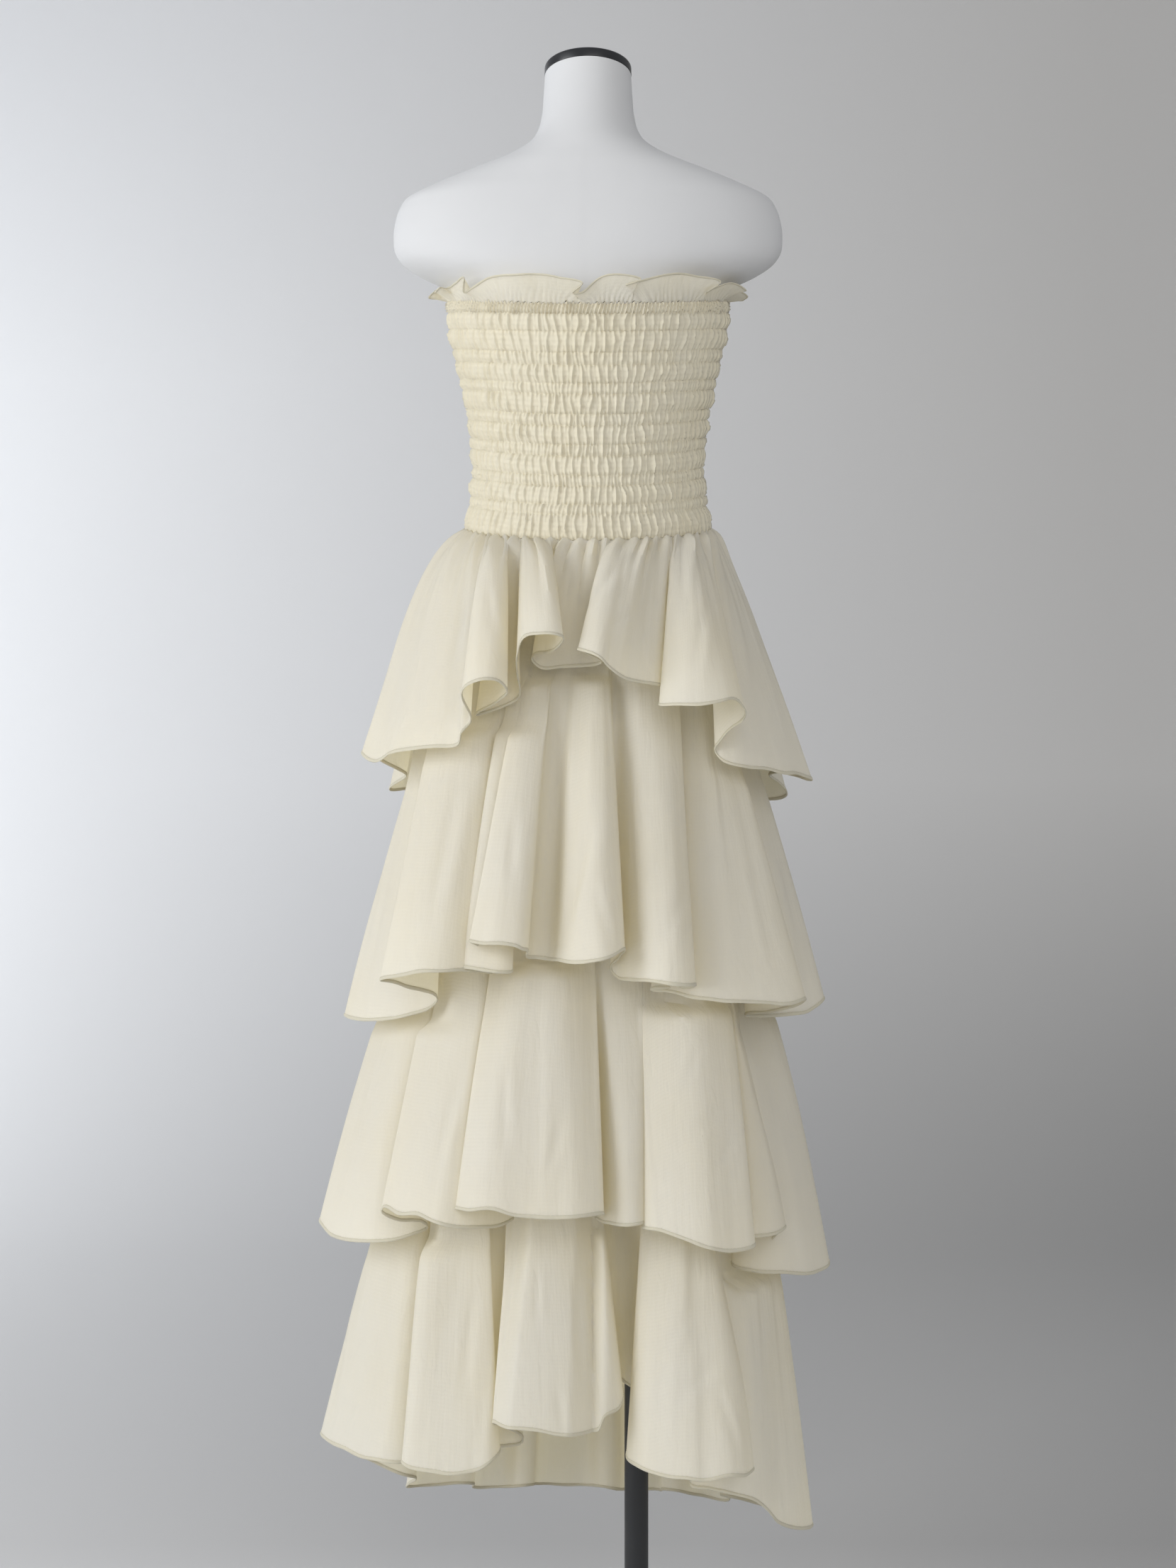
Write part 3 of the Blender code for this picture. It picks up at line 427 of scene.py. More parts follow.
CREASES = (
    Crease(1, -57, 0.45, 0.090, 0.006, 6, 0.0022),
    Crease(1, -44, 0.55, 0.050, 0.004, -8, 0.0015),
    Crease(1, 14, 0.40, 0.060, 0.005, 20, 0.0018),
    Crease(1, 23, 0.62, 0.036, 0.003, 38, 0.0012),
    Crease(1, 51, 0.60, 0.070, 0.005, 9, 0.0016),
    Crease(1, 76, 0.50, 0.080, 0.006, -6, 0.0020),
    Crease(2, -48, 0.62, 0.110, 0.007, 5, 0.0024),
    Crease(2, -17, 0.70, 0.060, 0.005, -4, 0.0018),
    Crease(2, -1, 0.74, 0.100, 0.007, 16, 0.0028),
    Crease(2, 3, 0.86, 0.050, 0.004, -12, 0.0016),
    Crease(2, 22, 0.66, 0.045, 0.0035, 52, 0.0013),
    Crease(2, 28, 0.80, 0.060, 0.004, 30, 0.0014),
    Crease(2, 47, 0.60, 0.040, 0.003, 44, 0.0011),
    Crease(2, 76, 0.72, 0.090, 0.006, -5, 0.0020),
    Crease(3, -48, 0.70, 0.090, 0.006, 8, 0.0020),
    Crease(3, -20, 0.66, 0.080, 0.005, -5, 0.0017),
    Crease(3, -10, 0.80, 0.050, 0.004, 14, 0.0014),
    Crease(3, 36, 0.50, 0.036, 0.003, 30, 0.0011),
    Crease(3, 41, 0.62, 0.048, 0.003, 48, 0.0012),
    Crease(3, 45, 0.72, 0.042, 0.003, 40, 0.0012),
    Crease(3, 33, 0.46, 0.034, 0.003, 24, 0.0010),
    Crease(4, -81, 0.78, 0.070, 0.006, -10, 0.0022),
    Crease(4, -76, 0.90, 0.050, 0.005, 24, 0.0018),
    Crease(4, -52, 0.60, 0.080, 0.005, 4, 0.0016),
    Crease(4, -23, 0.52, 0.050, 0.003, 2, 0.0012),
    Crease(4, -18, 0.90, 0.036, 0.0035, -4, 0.0016),
    Crease(4, -14, 0.60, 0.090, 0.006, 3, 0.0018),
    Crease(4, 35, 0.56, 0.050, 0.003, 36, 0.0012),
    Crease(4, 42, 0.70, 0.060, 0.004, 50, 0.0013),
    Crease(4, 48, 0.84, 0.050, 0.004, -18, 0.0015),
    Crease(1, 112, 0.55, 0.070, 0.005, 8, 0.0018),
    Crease(1, 165, 0.62, 0.060, 0.004, -20, 0.0014),
    Crease(1, 222, 0.48, 0.080, 0.006, 5, 0.0020),
    Crease(2, 120, 0.60, 0.090, 0.006, -6, 0.0022),
    Crease(2, 172, 0.74, 0.060, 0.004, 34, 0.0014),
    Crease(2, 236, 0.56, 0.090, 0.006, 6, 0.0020),
    Crease(3, 126, 0.66, 0.080, 0.006, 7, 0.0020),
    Crease(3, 180, 0.58, 0.050, 0.004, 42, 0.0013),
    Crease(3, 240, 0.74, 0.080, 0.005, -8, 0.0018),
    Crease(4, 114, 0.62, 0.090, 0.006, 6, 0.0022),
    Crease(4, 160, 0.78, 0.060, 0.004, -26, 0.0015),
    Crease(4, 216, 0.52, 0.080, 0.006, 8, 0.0020),
)


class Finish:
    """A material with its Principled shader, and short ways to add the nodes of a pattern."""

    def __init__(self, name, roughness, sheen=0.0):
        self.made = bpy.data.materials.new(name)
        self.made.use_nodes = True
        self.tree = self.made.node_tree
        self.shader = self.tree.nodes["Principled BSDF"]
        self.output = self.tree.nodes["Material Output"]
        self.shader.inputs["Roughness"].default_value = roughness
        self.shader.inputs["Sheen Weight"].default_value = sheen
        self.shader.inputs["Sheen Roughness"].default_value = 0.45

    def node(self, kind, **inputs):
        made = self.tree.nodes.new(kind)
        for name, value in inputs.items():
            self.feed(made.inputs[name.replace("_", " ")], value)
        return made

    def feed(self, socket, value):
        if isinstance(value, bpy.types.NodeSocket):
            self.tree.links.new(value, socket)
        else:
            socket.default_value = value

    def coordinates(self, kind, scale, turn_deg=0.0):
        """The UV map, in metres of cloth, or the Object coordinates, turned and scaled."""
        source = self.tree.nodes.new("ShaderNodeTexCoord").outputs[kind]
        mapping = self.tree.nodes.new("ShaderNodeMapping")
        self.feed(mapping.inputs["Vector"], source)
        mapping.inputs["Rotation"].default_value = (0.0, 0.0, math.radians(turn_deg))
        mapping.inputs["Scale"].default_value = scale
        return mapping.outputs["Vector"]

    def noise(self, kind, scale, detail, roughness, turn_deg=0.0):
        """Clouds on the UV map or the Object coordinates, this many to the metre each way."""
        place = self.coordinates(kind, scale, turn_deg)
        made = self.node("ShaderNodeTexNoise", Vector=place, Scale=1.0, Detail=detail, Roughness=roughness)
        return made.outputs["Fac"]

    def threads(self, scale, distortion, turn_deg=0.0):
        """Round threads side by side on the UV map."""
        place = self.coordinates("UV", scale, turn_deg)
        settings = dict(Scale=1.0, Distortion=distortion, Detail=1.0, Detail_Scale=0.6)
        return self.node("ShaderNodeTexWave", Vector=place, **settings).outputs["Fac"]

    def math(self, operation, first, second=0.0, third=0.0):
        made = self.tree.nodes.new("ShaderNodeMath")
        made.operation = operation
        for socket, value in zip(made.inputs, (first, second, third)):
            self.feed(socket, value)
        return made.outputs[0]

    def between(self, share, low, high, low_at=0.0, high_at=1.0):
        made = self.node("ShaderNodeMapRange", Value=share)
        for name, value in (("From Min", low_at), ("From Max", high_at), ("To Min", low), ("To Max", high)):
            made.inputs[name].default_value = value
        return made.outputs[0]

    def shade(self, share, low, high):
        made = self.tree.nodes.new("ShaderNodeMix")
        made.data_type = "RGBA"
        self.feed(made.inputs[0], share)
        self.feed(made.inputs[6], low if isinstance(low, bpy.types.NodeSocket) else (*low, 1.0))
        self.feed(made.inputs[7], high if isinstance(high, bpy.types.NodeSocket) else (*high, 1.0))
        return made.outputs[2]

    def colour(self, share, low, high):
        """The base colour, from one shade to another by a share."""
        self.feed(self.shader.inputs["Base Color"], self.shade(share, low, high))

    def bump(self, height, distance, strength, over=None):
        made = self.node("ShaderNodeBump", Height=height, Distance=distance, Strength=strength)
        if over:
            self.feed(made.inputs["Normal"], over)
        self.feed(self.shader.inputs["Normal"], made.outputs["Normal"])
        return made.outputs["Normal"]


# Colours, in linear red, green and blue
CREAM = (0.960, 0.956, 0.940)
CREAM_DEEP = (0.952, 0.940, 0.895)
CREAM_SLUB = (0.970, 0.966, 0.955)
SHIRRED_CREAM = (0.840, 0.788, 0.635)
SHIRRED_DEEP = (0.825, 0.765, 0.595)
SHIRRED_SLUB = (0.880, 0.840, 0.710)
HEM_CREAM = (0.715, 0.672, 0.535)
HEM_SLUB = (0.780, 0.742, 0.625)
THROUGH_CREAM = (1.0, 0.955, 0.805)
THREAD_DARK, THREAD_LIGHT = (0.80, 0.765, 0.635), (0.90, 0.875, 0.765)
JERSEY_LIGHT, JERSEY_DARK = (0.652, 0.651, 0.648), (0.630, 0.629, 0.626)
CAP_DARK, CAP_LIGHT = (0.010, 0.0105, 0.012), (0.017, 0.018, 0.020)
STEEL_DARK, STEEL_LIGHT = (0.0105, 0.0115, 0.0130), (0.021, 0.022, 0.024)
WALL_PALE, WALL_PALER = (0.800, 0.802, 0.808), (0.830, 0.832, 0.838)
# The wall's painted shade: a darker grey for its right side, and a much darker one low on the right
WALL_PAINTED_SHADE, WALL_PAINTED_DEEP_SHADE = (0.635, 0.618, 0.590), (0.270, 0.268, 0.262)


def woven(finish, body, deep, slub, turn_deg):
    """A plain weave on the bias: fine threads both ways, slubs along them, and soft clouding."""
    both_ways = (turn_deg, turn_deg + 90.0)
    warp, weft = (finish.threads((THREADS_PER_METRE, 60.0, 1.0), 1.4, turn) for turn in both_ways)
    crossing = finish.math("MULTIPLY", warp, weft)
    streaks = [finish.noise("UV", (1400.0, 70.0, 1.0), 2.0, 0.6, turn) for turn in both_ways]
    slubs = finish.math("MAXIMUM", *streaks)
    clouds = finish.noise("UV", (9.0, 5.0, 1.0), 3.0, 0.55)
    colour = finish.shade(finish.between(clouds, 0.0, 1.0, 0.34, 0.68), body, deep)
    colour = finish.shade(finish.between(slubs, 0.0, 0.40, 0.56, 0.78), colour, slub)
    height = finish.math("MULTIPLY_ADD", slubs, 0.6, finish.math("MULTIPLY", crossing, 0.5))
    ripples = finish.noise("UV", (150.0, 14.0, 1.0), 2.0, 0.5, 8.0)
    wrinkles = finish.noise("UV", (95.0, 30.0, 1.0), 1.0, 0.5, 38.0)
    rumple = finish.math("MAXIMUM", ripples, finish.between(wrinkles, 0.0, 0.85, 0.45, 0.75))
    return colour, height, rumple


def cloth(name, body, deep, slub, glow, turn_deg=0.0):
    """Fine cotton voile: part of the light that falls on it comes through from behind."""
    finish = Finish(name, 0.88, sheen=0.15)
    colour, height, rumple = woven(finish, body, deep, slub, turn_deg)
    finish.feed(finish.shader.inputs["Base Color"], colour)
    normal = finish.bump(rumple, 0.0016, 0.5)
    normal = finish.bump(height, 0.00030, 0.6, normal)
    warmer = finish.tree.nodes.new("ShaderNodeMix")
    warmer.data_type, warmer.blend_type = "RGBA", "MULTIPLY"
    warmer.inputs[0].default_value = 1.0
    finish.feed(warmer.inputs[6], colour)
    finish.feed(warmer.inputs[7], (*THROUGH_CREAM, 1.0))
    lit_through = finish.node("ShaderNodeBsdfTranslucent", Color=warmer.outputs[2])
    finish.feed(lit_through.inputs["Normal"], normal)
    both = finish.node("ShaderNodeMixShader", Fac=glow)
    finish.tree.links.new(finish.shader.outputs[0], both.inputs[1])
    finish.tree.links.new(lit_through.outputs[0], both.inputs[2])
    finish.tree.links.new(both.outputs[0], finish.output.inputs["Surface"])
    return finish.made


def white_jersey():
    """Fine stockinette stretched over the form: ribs of small stitches and a little clouding."""
    finish = Finish("white_jersey", 0.92, sheen=0.10)
    ribs = finish.threads((620.0, 0.0, 1.0), 0.0)
    rows = finish.threads((0.0, 800.0, 1.0), 0.0, 90.0)
    clouds = finish.noise("Object", (11.0, 11.0, 11.0), 3.0, 0.5)
    finish.colour(finish.between(clouds, 0.0, 1.0, 0.35, 0.7), JERSEY_LIGHT, JERSEY_DARK)
    finish.bump(finish.math("MULTIPLY", ribs, rows), 0.00012, 0.35)
    return finish.made


def black_satin():
    """The neck cap's lacquer: a fine grain and a few faint smears."""
    finish = Finish("black_cap", 0.28)
    grain = finish.noise("Object", (900.0, 900.0, 900.0), 2.0, 0.6)
    smears = finish.noise("Object", (38.0, 38.0, 90.0), 3.0, 0.55)
    finish.colour(smears, CAP_DARK, CAP_LIGHT)
    finish.feed(finish.shader.inputs["Roughness"], finish.between(smears, 0.24, 0.38, 0.3, 0.7))
    finish.bump(grain, 0.00004, 0.4)
    return finish.made


def black_steel():
    """Powder-coated steel: a fine orange peel, a few rubbed streaks along the tube."""
    finish = Finish("black_steel", 0.40)
    peel = finish.noise("Object", (1400.0, 1400.0, 1400.0), 2.0, 0.5)
    rubs = finish.noise("Object", (60.0, 60.0, 5.0), 4.0, 0.6)
    finish.colour(rubs, STEEL_DARK, STEEL_LIGHT)
    finish.feed(finish.shader.inputs["Roughness"], finish.between(rubs, 0.34, 0.50, 0.3, 0.7))
    finish.bump(peel, 0.00006, 0.5)
    return finish.made


def sewing_thread():
    """Twisted cotton thread in the dress's own cream."""
    finish = Finish("sewing_thread", 0.60, sheen=0.2)
    twist = finish.noise("Object", (2600.0, 2600.0, 2600.0), 1.0, 0.5)
    finish.colour(twist, THREAD_DARK, THREAD_LIGHT)
    finish.bump(twist, 0.00005, 0.4)
    return finish.made


VOILE = cloth("cream_voile", CREAM, CREAM_DEEP, CREAM_SLUB, glow=0.56, turn_deg=45.0)
HEMMED = cloth("rolled_voile", HEM_CREAM, HEM_CREAM, HEM_SLUB, glow=0.20)
SHIRRED = cloth("shirred_voile", SHIRRED_CREAM, SHIRRED_DEEP, SHIRRED_SLUB, glow=0.20)
UNDER = cloth("underskirt_voile", CREAM, CREAM_DEEP, CREAM_SLUB, glow=0.40)
JERSEY = white_jersey()
BLACK_CAP = black_satin()
BLACK_STEEL = black_steel()
THREAD = sewing_thread()


def soft_noise(across, down, seed):
    """Smooth random values from -1 to 1 over a plane, the same on every run."""
    lattice = np.random.RandomState(seed).uniform(-1.0, 1.0, (64, 64))
    across, down = np.broadcast_arrays(across, down)
    i, j = np.floor(across).astype(int), np.floor(down).astype(int)
    u, w = across - i, down - j
    u, w = u * u * (3 - 2 * u), w * w * (3 - 2 * w)
    low = lattice[i % 64, j % 64] * (1 - u) + lattice[(i + 1) % 64, j % 64] * u
    high = lattice[i % 64, (j + 1) % 64] * (1 - u) + lattice[(i + 1) % 64, (j + 1) % 64] * u
    return low * (1 - w) + high * w


def on_curve(t, first, leaving, second, arriving):
    """Places on a smooth curve between two points, at these shares of the way."""
    return (
        (2 * t**3 - 3 * t**2 + 1) * first
        + (t**3 - 2 * t**2 + t) * leaving
        + (3 * t**2 - 2 * t**3) * second
        + (t**3 - t**2) * arriving
    )


def between_rows(table, heights):
    """Every column of a table at the places asked for in its first column, on a smooth curve."""
    rows = np.array(sorted(table))
    known, values = rows[:, 0], rows[:, 1:]
    slopes = np.gradient(values, known, axis=0)
    at = np.clip(np.asarray(heights, float), known[0], known[-1])
    i = np.clip(np.searchsorted(known, at) - 1, 0, len(known) - 2)
    step = known[i + 1] - known[i]
    t = ((at - known[i]) / step)[..., None]
    step = step[..., None]
    return on_curve(t, values[i], step * slopes[i], values[i + 1], step * slopes[i + 1])


def around(table, angles, heights, out=0.0):
    """Points round a body of oval sections. Angle 0 is the middle of the back, +90 degrees is +X."""
    section = between_rows(table, heights)
    depth = np.where(np.cos(angles) > 0, section[..., 1], section[..., 2])
    x = (section[..., 0] + out) * np.sin(angles)
    y = -(depth + out) * np.cos(angles)
    return np.stack([x, y, heights + 0.0 * x], axis=-1)


def drop(angles):
    """How far the dress's level lines lie below the side seams: they sink behind and rise in front."""
    tilt, bow = 0.5 * (BACK_DROP + FRONT_RISE), 0.5 * (BACK_DROP - FRONT_RISE)
    return tilt * np.cos(angles) + bow * np.cos(angles) ** 2


def half_angles(columns, front):
    """Angles across one half of the dress, stopping half a seam gap short of each side seam."""
    edge = math.pi / 2 - 0.5 * SEAM_GAP / BODY_RADIUS
    return np.linspace(-edge, edge, columns) + (math.pi if front else 0.0)


def steps_along(points, axis):
    """Distance travelled along one axis of a grid of points, from 0."""
    lengths = np.linalg.norm(np.diff(points, axis=axis), axis=-1)
    start = np.zeros_like(np.take(lengths, [0], axis=axis))
    return np.concatenate([start, np.cumsum(lengths, axis=axis)], axis=axis)


def grid_normals(points):
    """Outward directions of a grid whose rows run down and whose columns run to the right."""
    below, along = np.gradient(points, axis=0), np.gradient(points, axis=1)
    across = np.cross(below, along)
    return across / np.maximum(np.linalg.norm(across, axis=-1, keepdims=True), 1e-12)


def grid_quads(start, rows, columns, flip):
    """The faces of a grid of points, turned round for an inner wall."""
    i, j = np.meshgrid(np.arange(rows - 1), np.arange(columns - 1), indexing="ij")
    a = (start + i * columns + j).ravel()
    quads = np.stack([a, a + columns, a + columns + 1, a + 1], axis=-1)
    return quads[:, ::-1] if flip else quads


def tube_faces(start, rings, sides):
    """The faces of a tube of rings, each with the same number of points."""
    i, j = np.meshgrid(np.arange(rings - 1), np.arange(sides), indexing="ij")
    a = start + i * sides + j
    b = start + i * sides + (j + 1) % sides
    return np.stack([a, b, b + sides, a + sides], axis=-1).reshape(-1, 4).tolist()


def border(start, rows, columns):
    """The four edges of a grid: top, right, bottom and left, head to tail."""
    top = [start + j for j in range(columns)]
    right = [start + i * columns + columns - 1 for i in range(rows)]
    bottom = [start + (rows - 1) * columns + j for j in reversed(range(columns))]
    left = [start + i * columns for i in reversed(range(rows))]
    return top, right, bottom, left


def zip_edges(first, second):
    """Triangles between two edges that run the same way and may have different numbers of points."""
    faces, i, j = [], 0, 0
    while i < len(first) - 1 or j < len(second) - 1:
        ahead_first = (i + 1) / (len(first) - 1)
        ahead_second = (j + 1) / (len(second) - 1)
        if j == len(second) - 1 or (i < len(first) - 1 and ahead_first <= ahead_second):
            faces.append((first[i], first[i + 1], second[j]))
            i += 1
        else:
            faces.append((first[i], second[j + 1], second[j]))
            j += 1
    return faces


def new_piece(name, points, faces, finish, uv=None, sharp_deg=50.0):
    """An object with smooth faces, sharp edges past an angle, and its UV map in metres."""
    mesh = bpy.data.meshes.new(name)
    mesh.from_pydata(np.asarray(points).tolist(), [], [list(map(int, f)) for f in faces])
    mesh.validate()
    if uv is not None:
        layer = mesh.uv_layers.new(name="cloth")
        corners = np.zeros(len(mesh.loops), int)
        mesh.loops.foreach_get("vertex_index", corners)
        layer.data.foreach_set("uv", np.asarray(uv)[corners].astype(np.float32).ravel())
    mesh.materials.append(finish)
    mesh.shade_smooth()
    mesh.set_sharp_from_angle(angle=math.radians(sharp_deg))
    made = bpy.data.objects.new(name, mesh)
    bpy.context.scene.collection.objects.link(made)
    return made


def shell(name, outer, inner, outer_uv, inner_uv, finish):
    """A closed piece of cloth between an outer and an inner grid of points."""
    rows, columns = outer.shape[:2]
    inner_rows, inner_columns = inner.shape[:2]
    start = rows * columns
    faces = grid_quads(0, rows, columns, False).tolist()
    faces += grid_quads(start, inner_rows, inner_columns, True).tolist()
    for edge, facing in zip(border(0, rows, columns), border(start, inner_rows, inner_columns)):
        faces += zip_edges(edge, facing)
    points = np.concatenate([outer.reshape(-1, 3), inner.reshape(-1, 3)]) + (AXIS_X, 0.0, 0.0)
    uv = np.concatenate([outer_uv.reshape(-1, 2), inner_uv.reshape(-1, 2)])
    return new_piece(name, points, faces, finish, uv)


def grid_uv(points):
    """A UV map in metres of cloth: along the middle row, and down each column."""
    along = steps_along(points, 1)
    middle = along[len(points) // 2]
    down = steps_along(points, 0)
    return np.stack([np.broadcast_to(middle, down.shape), -down], axis=-1)


def band(name, path, down, out, height, thick, seed):
    """A rolled hem: a flat oval tube along the edge of a cloth, a little uneven, with closed ends."""
    sides = 8
    turn = np.arange(sides) * math.tau / sides
    length = steps_along(path, 0)
    uneven = 1.0 + 0.10 * soft_noise(length * 55.0, 0.0, seed)
    uneven = uneven + 0.06 * soft_noise(length * 210.0, 3.0, seed)
    lift = 0.35 * (uneven - 1.0)
    across = (0.5 * height * uneven)[:, None, None]
    centre = path - down * (0.5 * height * (0.86 + lift))[:, None] - out * (0.5 * VOILE_THICK)
    ring = down[:, None] * np.cos(turn)[None, :, None] * across
    ring = ring + out[:, None] * (np.sin(turn) * 0.5 * thick)[None, :, None]
    points = (centre[:, None] + ring).reshape(-1, 3)
    count = len(path)
    faces = tube_faces(0, count, sides)
    faces.append(tuple(reversed(range(sides))))
    faces.append(tuple((count - 1) * sides + j for j in range(sides)))
    uv = np.stack([np.repeat(length, sides), np.tile(turn * 0.0008, count)], axis=-1)
    made = new_piece(name, points + (AXIS_X, 0.0, 0.0), faces, HEMMED, uv, sharp_deg=80.0)
    mesh = made.data
    mesh.calc_loop_triangles()
    corners = np.zeros(3 * len(mesh.loop_triangles), int)
    mesh.loop_triangles.foreach_get("vertices", corners)
    first, second, third = points[corners.reshape(-1, 3)].swapaxes(0, 1)
    volume = (first * np.cross(second, third)).sum()
    if volume < 0:
        mesh.flip_normals()
    return made


def placed(piece, slot, *nodes):
    """A finished piece on the part's one body, standing for its solids. Its slot is not used."""
    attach(piece, "root")
    if nodes:
        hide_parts(*nodes)


class Nodes:
    """A Geometry Nodes tree with named inputs, and short ways to add its nodes."""

    def __init__(self, name, **inputs):
        self.tree = bpy.data.node_groups.new(name, "GeometryNodeTree")
        self.tree.interface.new_socket(name="Geometry", in_out="INPUT", socket_type="NodeSocketGeometry")
        self.tree.interface.new_socket(name="Geometry", in_out="OUTPUT", socket_type="NodeSocketGeometry")
        self.sockets = {}
        for label, value in inputs.items():
            kind = "NodeSocketInt" if isinstance(value, int) else "NodeSocketFloat"
            if isinstance(value, bpy.types.Material):
                kind = "NodeSocketMaterial"
            made = self.tree.interface.new_socket(name=label, in_out="INPUT", socket_type=kind)
            self.sockets[label] = (made.identifier, value)
        self.given = self.tree.nodes.new("NodeGroupInput").outputs
        self.result = self.tree.nodes.new("NodeGroupOutput").inputs[0]

    def feed(self, socket, value):
        if isinstance(value, bpy.types.NodeSocket):
            self.tree.links.new(value, socket)
        else:
            socket.default_value = value

    def node(self, kind, settings=(), **inputs):
        made = self.tree.nodes.new(kind)
        for name, value in settings:
            setattr(made, name, value)
        for name, value in inputs.items():
            self.feed(made.inputs[name.replace("_", " ")], value)
        return made

    def math(self, operation, first, second=0.0):
        made = self.tree.nodes.new("ShaderNodeMath")
        made.operation = operation
        self.feed(made.inputs[0], first)
        self.feed(made.inputs[1], second)
        return made.outputs[0]

    def attribute(self, name):
        made = self.node("GeometryNodeInputNamedAttribute", [("data_type", "FLOAT")], Name=name)
        return made.outputs["Attribute"]

    def end_with(self, geometry, finish):
        realized = self.node("GeometryNodeRealizeInstances", Geometry=geometry)
        dressed = self.node("GeometryNodeSetMaterial", Geometry=realized.outputs[0], Material=finish)
        self.tree.links.new(dressed.outputs[0], self.result)

    def applied(self, source, name, **changes):
        """The plain mesh that this tree makes of an object, which it replaces."""
        modifier = source.modifiers.new(name, "NODES")
        modifier.node_group = self.tree
        for label, (identifier, value) in self.sockets.items():
            modifier[identifier] = changes.get(label, value)
        graph = bpy.context.evaluated_depsgraph_get()
        mesh = bpy.data.meshes.new_from_object(source.evaluated_get(graph))
        mesh.name = name
        made = bpy.data.objects.new(name, mesh)
        bpy.context.scene.collection.objects.link(made)
        bpy.data.objects.remove(source, do_unlink=True)
        return made


def gathering():
    """Raises thin ridges on a cloth's outer wall. Each forks in two where an elastic thread pinches it."""
    sizes = dict(Pitch=0.0084, Low=0.0017, High=0.0023, Slant=0.8, Wander=1.45, Lean=0.0)
    nodes = Nodes("gathers", **sizes, Finish=SHIRRED)
    given = nodes.given
    turn, fall, puff, shift, face = (
        nodes.attribute(label) for label in ("turn", "fall", "puff", "shift", "face")
    )

    def cloud(across, down, layer):
        x, y = nodes.math("MULTIPLY", turn, across), nodes.math("MULTIPLY", fall, down)
        place = nodes.node("ShaderNodeCombineXYZ", X=x, Y=y, Z=layer)
        made = nodes.node("ShaderNodeTexNoise", Vector=place.outputs[0], Scale=1.0, Detail=1.0)
        return nodes.math("SUBTRACT", made.outputs[0], 0.5)

    def ridges(count):
        """Thin ridges with flat facets between, each facet a little higher at its right."""
        share = nodes.math("FRACT", nodes.math("ADD", count, 40.0))
        hollow = nodes.math("SINE", nodes.math("MULTIPLY", share, math.pi))
        ridge = nodes.math("POWER", nodes.math("SUBTRACT", 1.0, hollow), 1.7)
        slant = nodes.math("MULTIPLY", nodes.math("SUBTRACT", share, 0.5), given["Slant"])
        return nodes.math("ADD", ridge, slant)

    leaning = nodes.math("ADD", turn, nodes.math("MULTIPLY", fall, given["Lean"]))
    count = nodes.math("DIVIDE", leaning, given["Pitch"])
    count = nodes.math("ADD", count, nodes.math("MULTIPLY", cloud(46.0, 30.0, 1.0), given["Wander"]))
    broad = ridges(nodes.math("ADD", count, shift))
    narrow = ridges(nodes.math("MULTIPLY", count, 2.0))
    share = nodes.math("MULTIPLY", puff, 0.85)
    rest = nodes.math("SUBTRACT", 1.0, share)
    broad_height = nodes.math("MULTIPLY", nodes.math("MULTIPLY", broad, share), given["High"])
    narrow_height = nodes.math("MULTIPLY", nodes.math("MULTIPLY", narrow, rest), given["Low"])
    height = nodes.math("ADD", broad_height, narrow_height)
    uneven = nodes.math("ADD", nodes.math("MULTIPLY", cloud(95.0, 60.0, 4.0), 2.2), 1.0)
    out = nodes.math("MULTIPLY", nodes.math("MULTIPLY", height, uneven), face)
    push = nodes.node("ShaderNodeVectorMath", [("operation", "SCALE")], Scale=out)
    nodes.tree.links.new(nodes.node("GeometryNodeInputNormal").outputs[0], push.inputs[0])
    moved = nodes.node("GeometryNodeSetPosition", Geometry=given["Geometry"], Offset=push.outputs[0])
    nodes.end_with(moved.outputs[0], given["Finish"])
    return nodes


def stitching():
    """Small stitches laid end to end with gaps along the paths that it is given."""
    nodes = Nodes("stitches", Spacing=0.0040, Length=0.0026, Radius=THREAD_RADIUS, Seed=5, Finish=THREAD)
    given = nodes.given
    curve = nodes.node("GeometryNodeMeshToCurve", Mesh=given["Geometry"])
    places = nodes.node("GeometryNodeCurveToPoints", [("mode", "LENGTH")], Curve=curve.outputs[0])
    nodes.feed(places.inputs["Length"], given["Spacing"])
    stitch = nodes.node("GeometryNodeMeshUVSphere", Segments=5, Rings=3, Radius=1.0)
    uneven = nodes.node("FunctionNodeRandomValue", [("data_type", "FLOAT")], Seed=given["Seed"])
    uneven.inputs[2].default_value, uneven.inputs[3].default_value = 0.80, 1.12
    long = nodes.math("MULTIPLY", nodes.math("MULTIPLY", given["Length"], 0.5), uneven.outputs[1])
    size = nodes.node("ShaderNodeCombineXYZ", X=given["Radius"], Y=given["Radius"], Z=long)
    laid = nodes.node(
        "GeometryNodeInstanceOnPoints",
        Points=places.outputs["Points"],
        Instance=stitch.outputs[0],
        Rotation=places.outputs["Rotation"],
        Scale=size.outputs[0],
    )
    nodes.end_with(laid.outputs[0], given["Finish"])
    return nodes


GATHERS = gathering()
STITCHES = stitching()


def stitched(name, paths, slot, **changes):
    """One piece of stitches along several paths of points."""
    points, edges = [], []
    for path in paths:
        start = len(points)
        points += (np.asarray(path) + (AXIS_X, 0.0, 0.0)).tolist()
        edges += [(start + i, start + i + 1) for i in range(len(path) - 1)]
    mesh = bpy.data.meshes.new(name + "_paths")
    mesh.from_pydata(points, edges, [])
    source = bpy.data.objects.new(name + "_paths", mesh)
    bpy.context.scene.collection.objects.link(source)
    made = STITCHES.applied(source, name, **changes)
    made.data.shade_smooth()
    placed(made, slot)


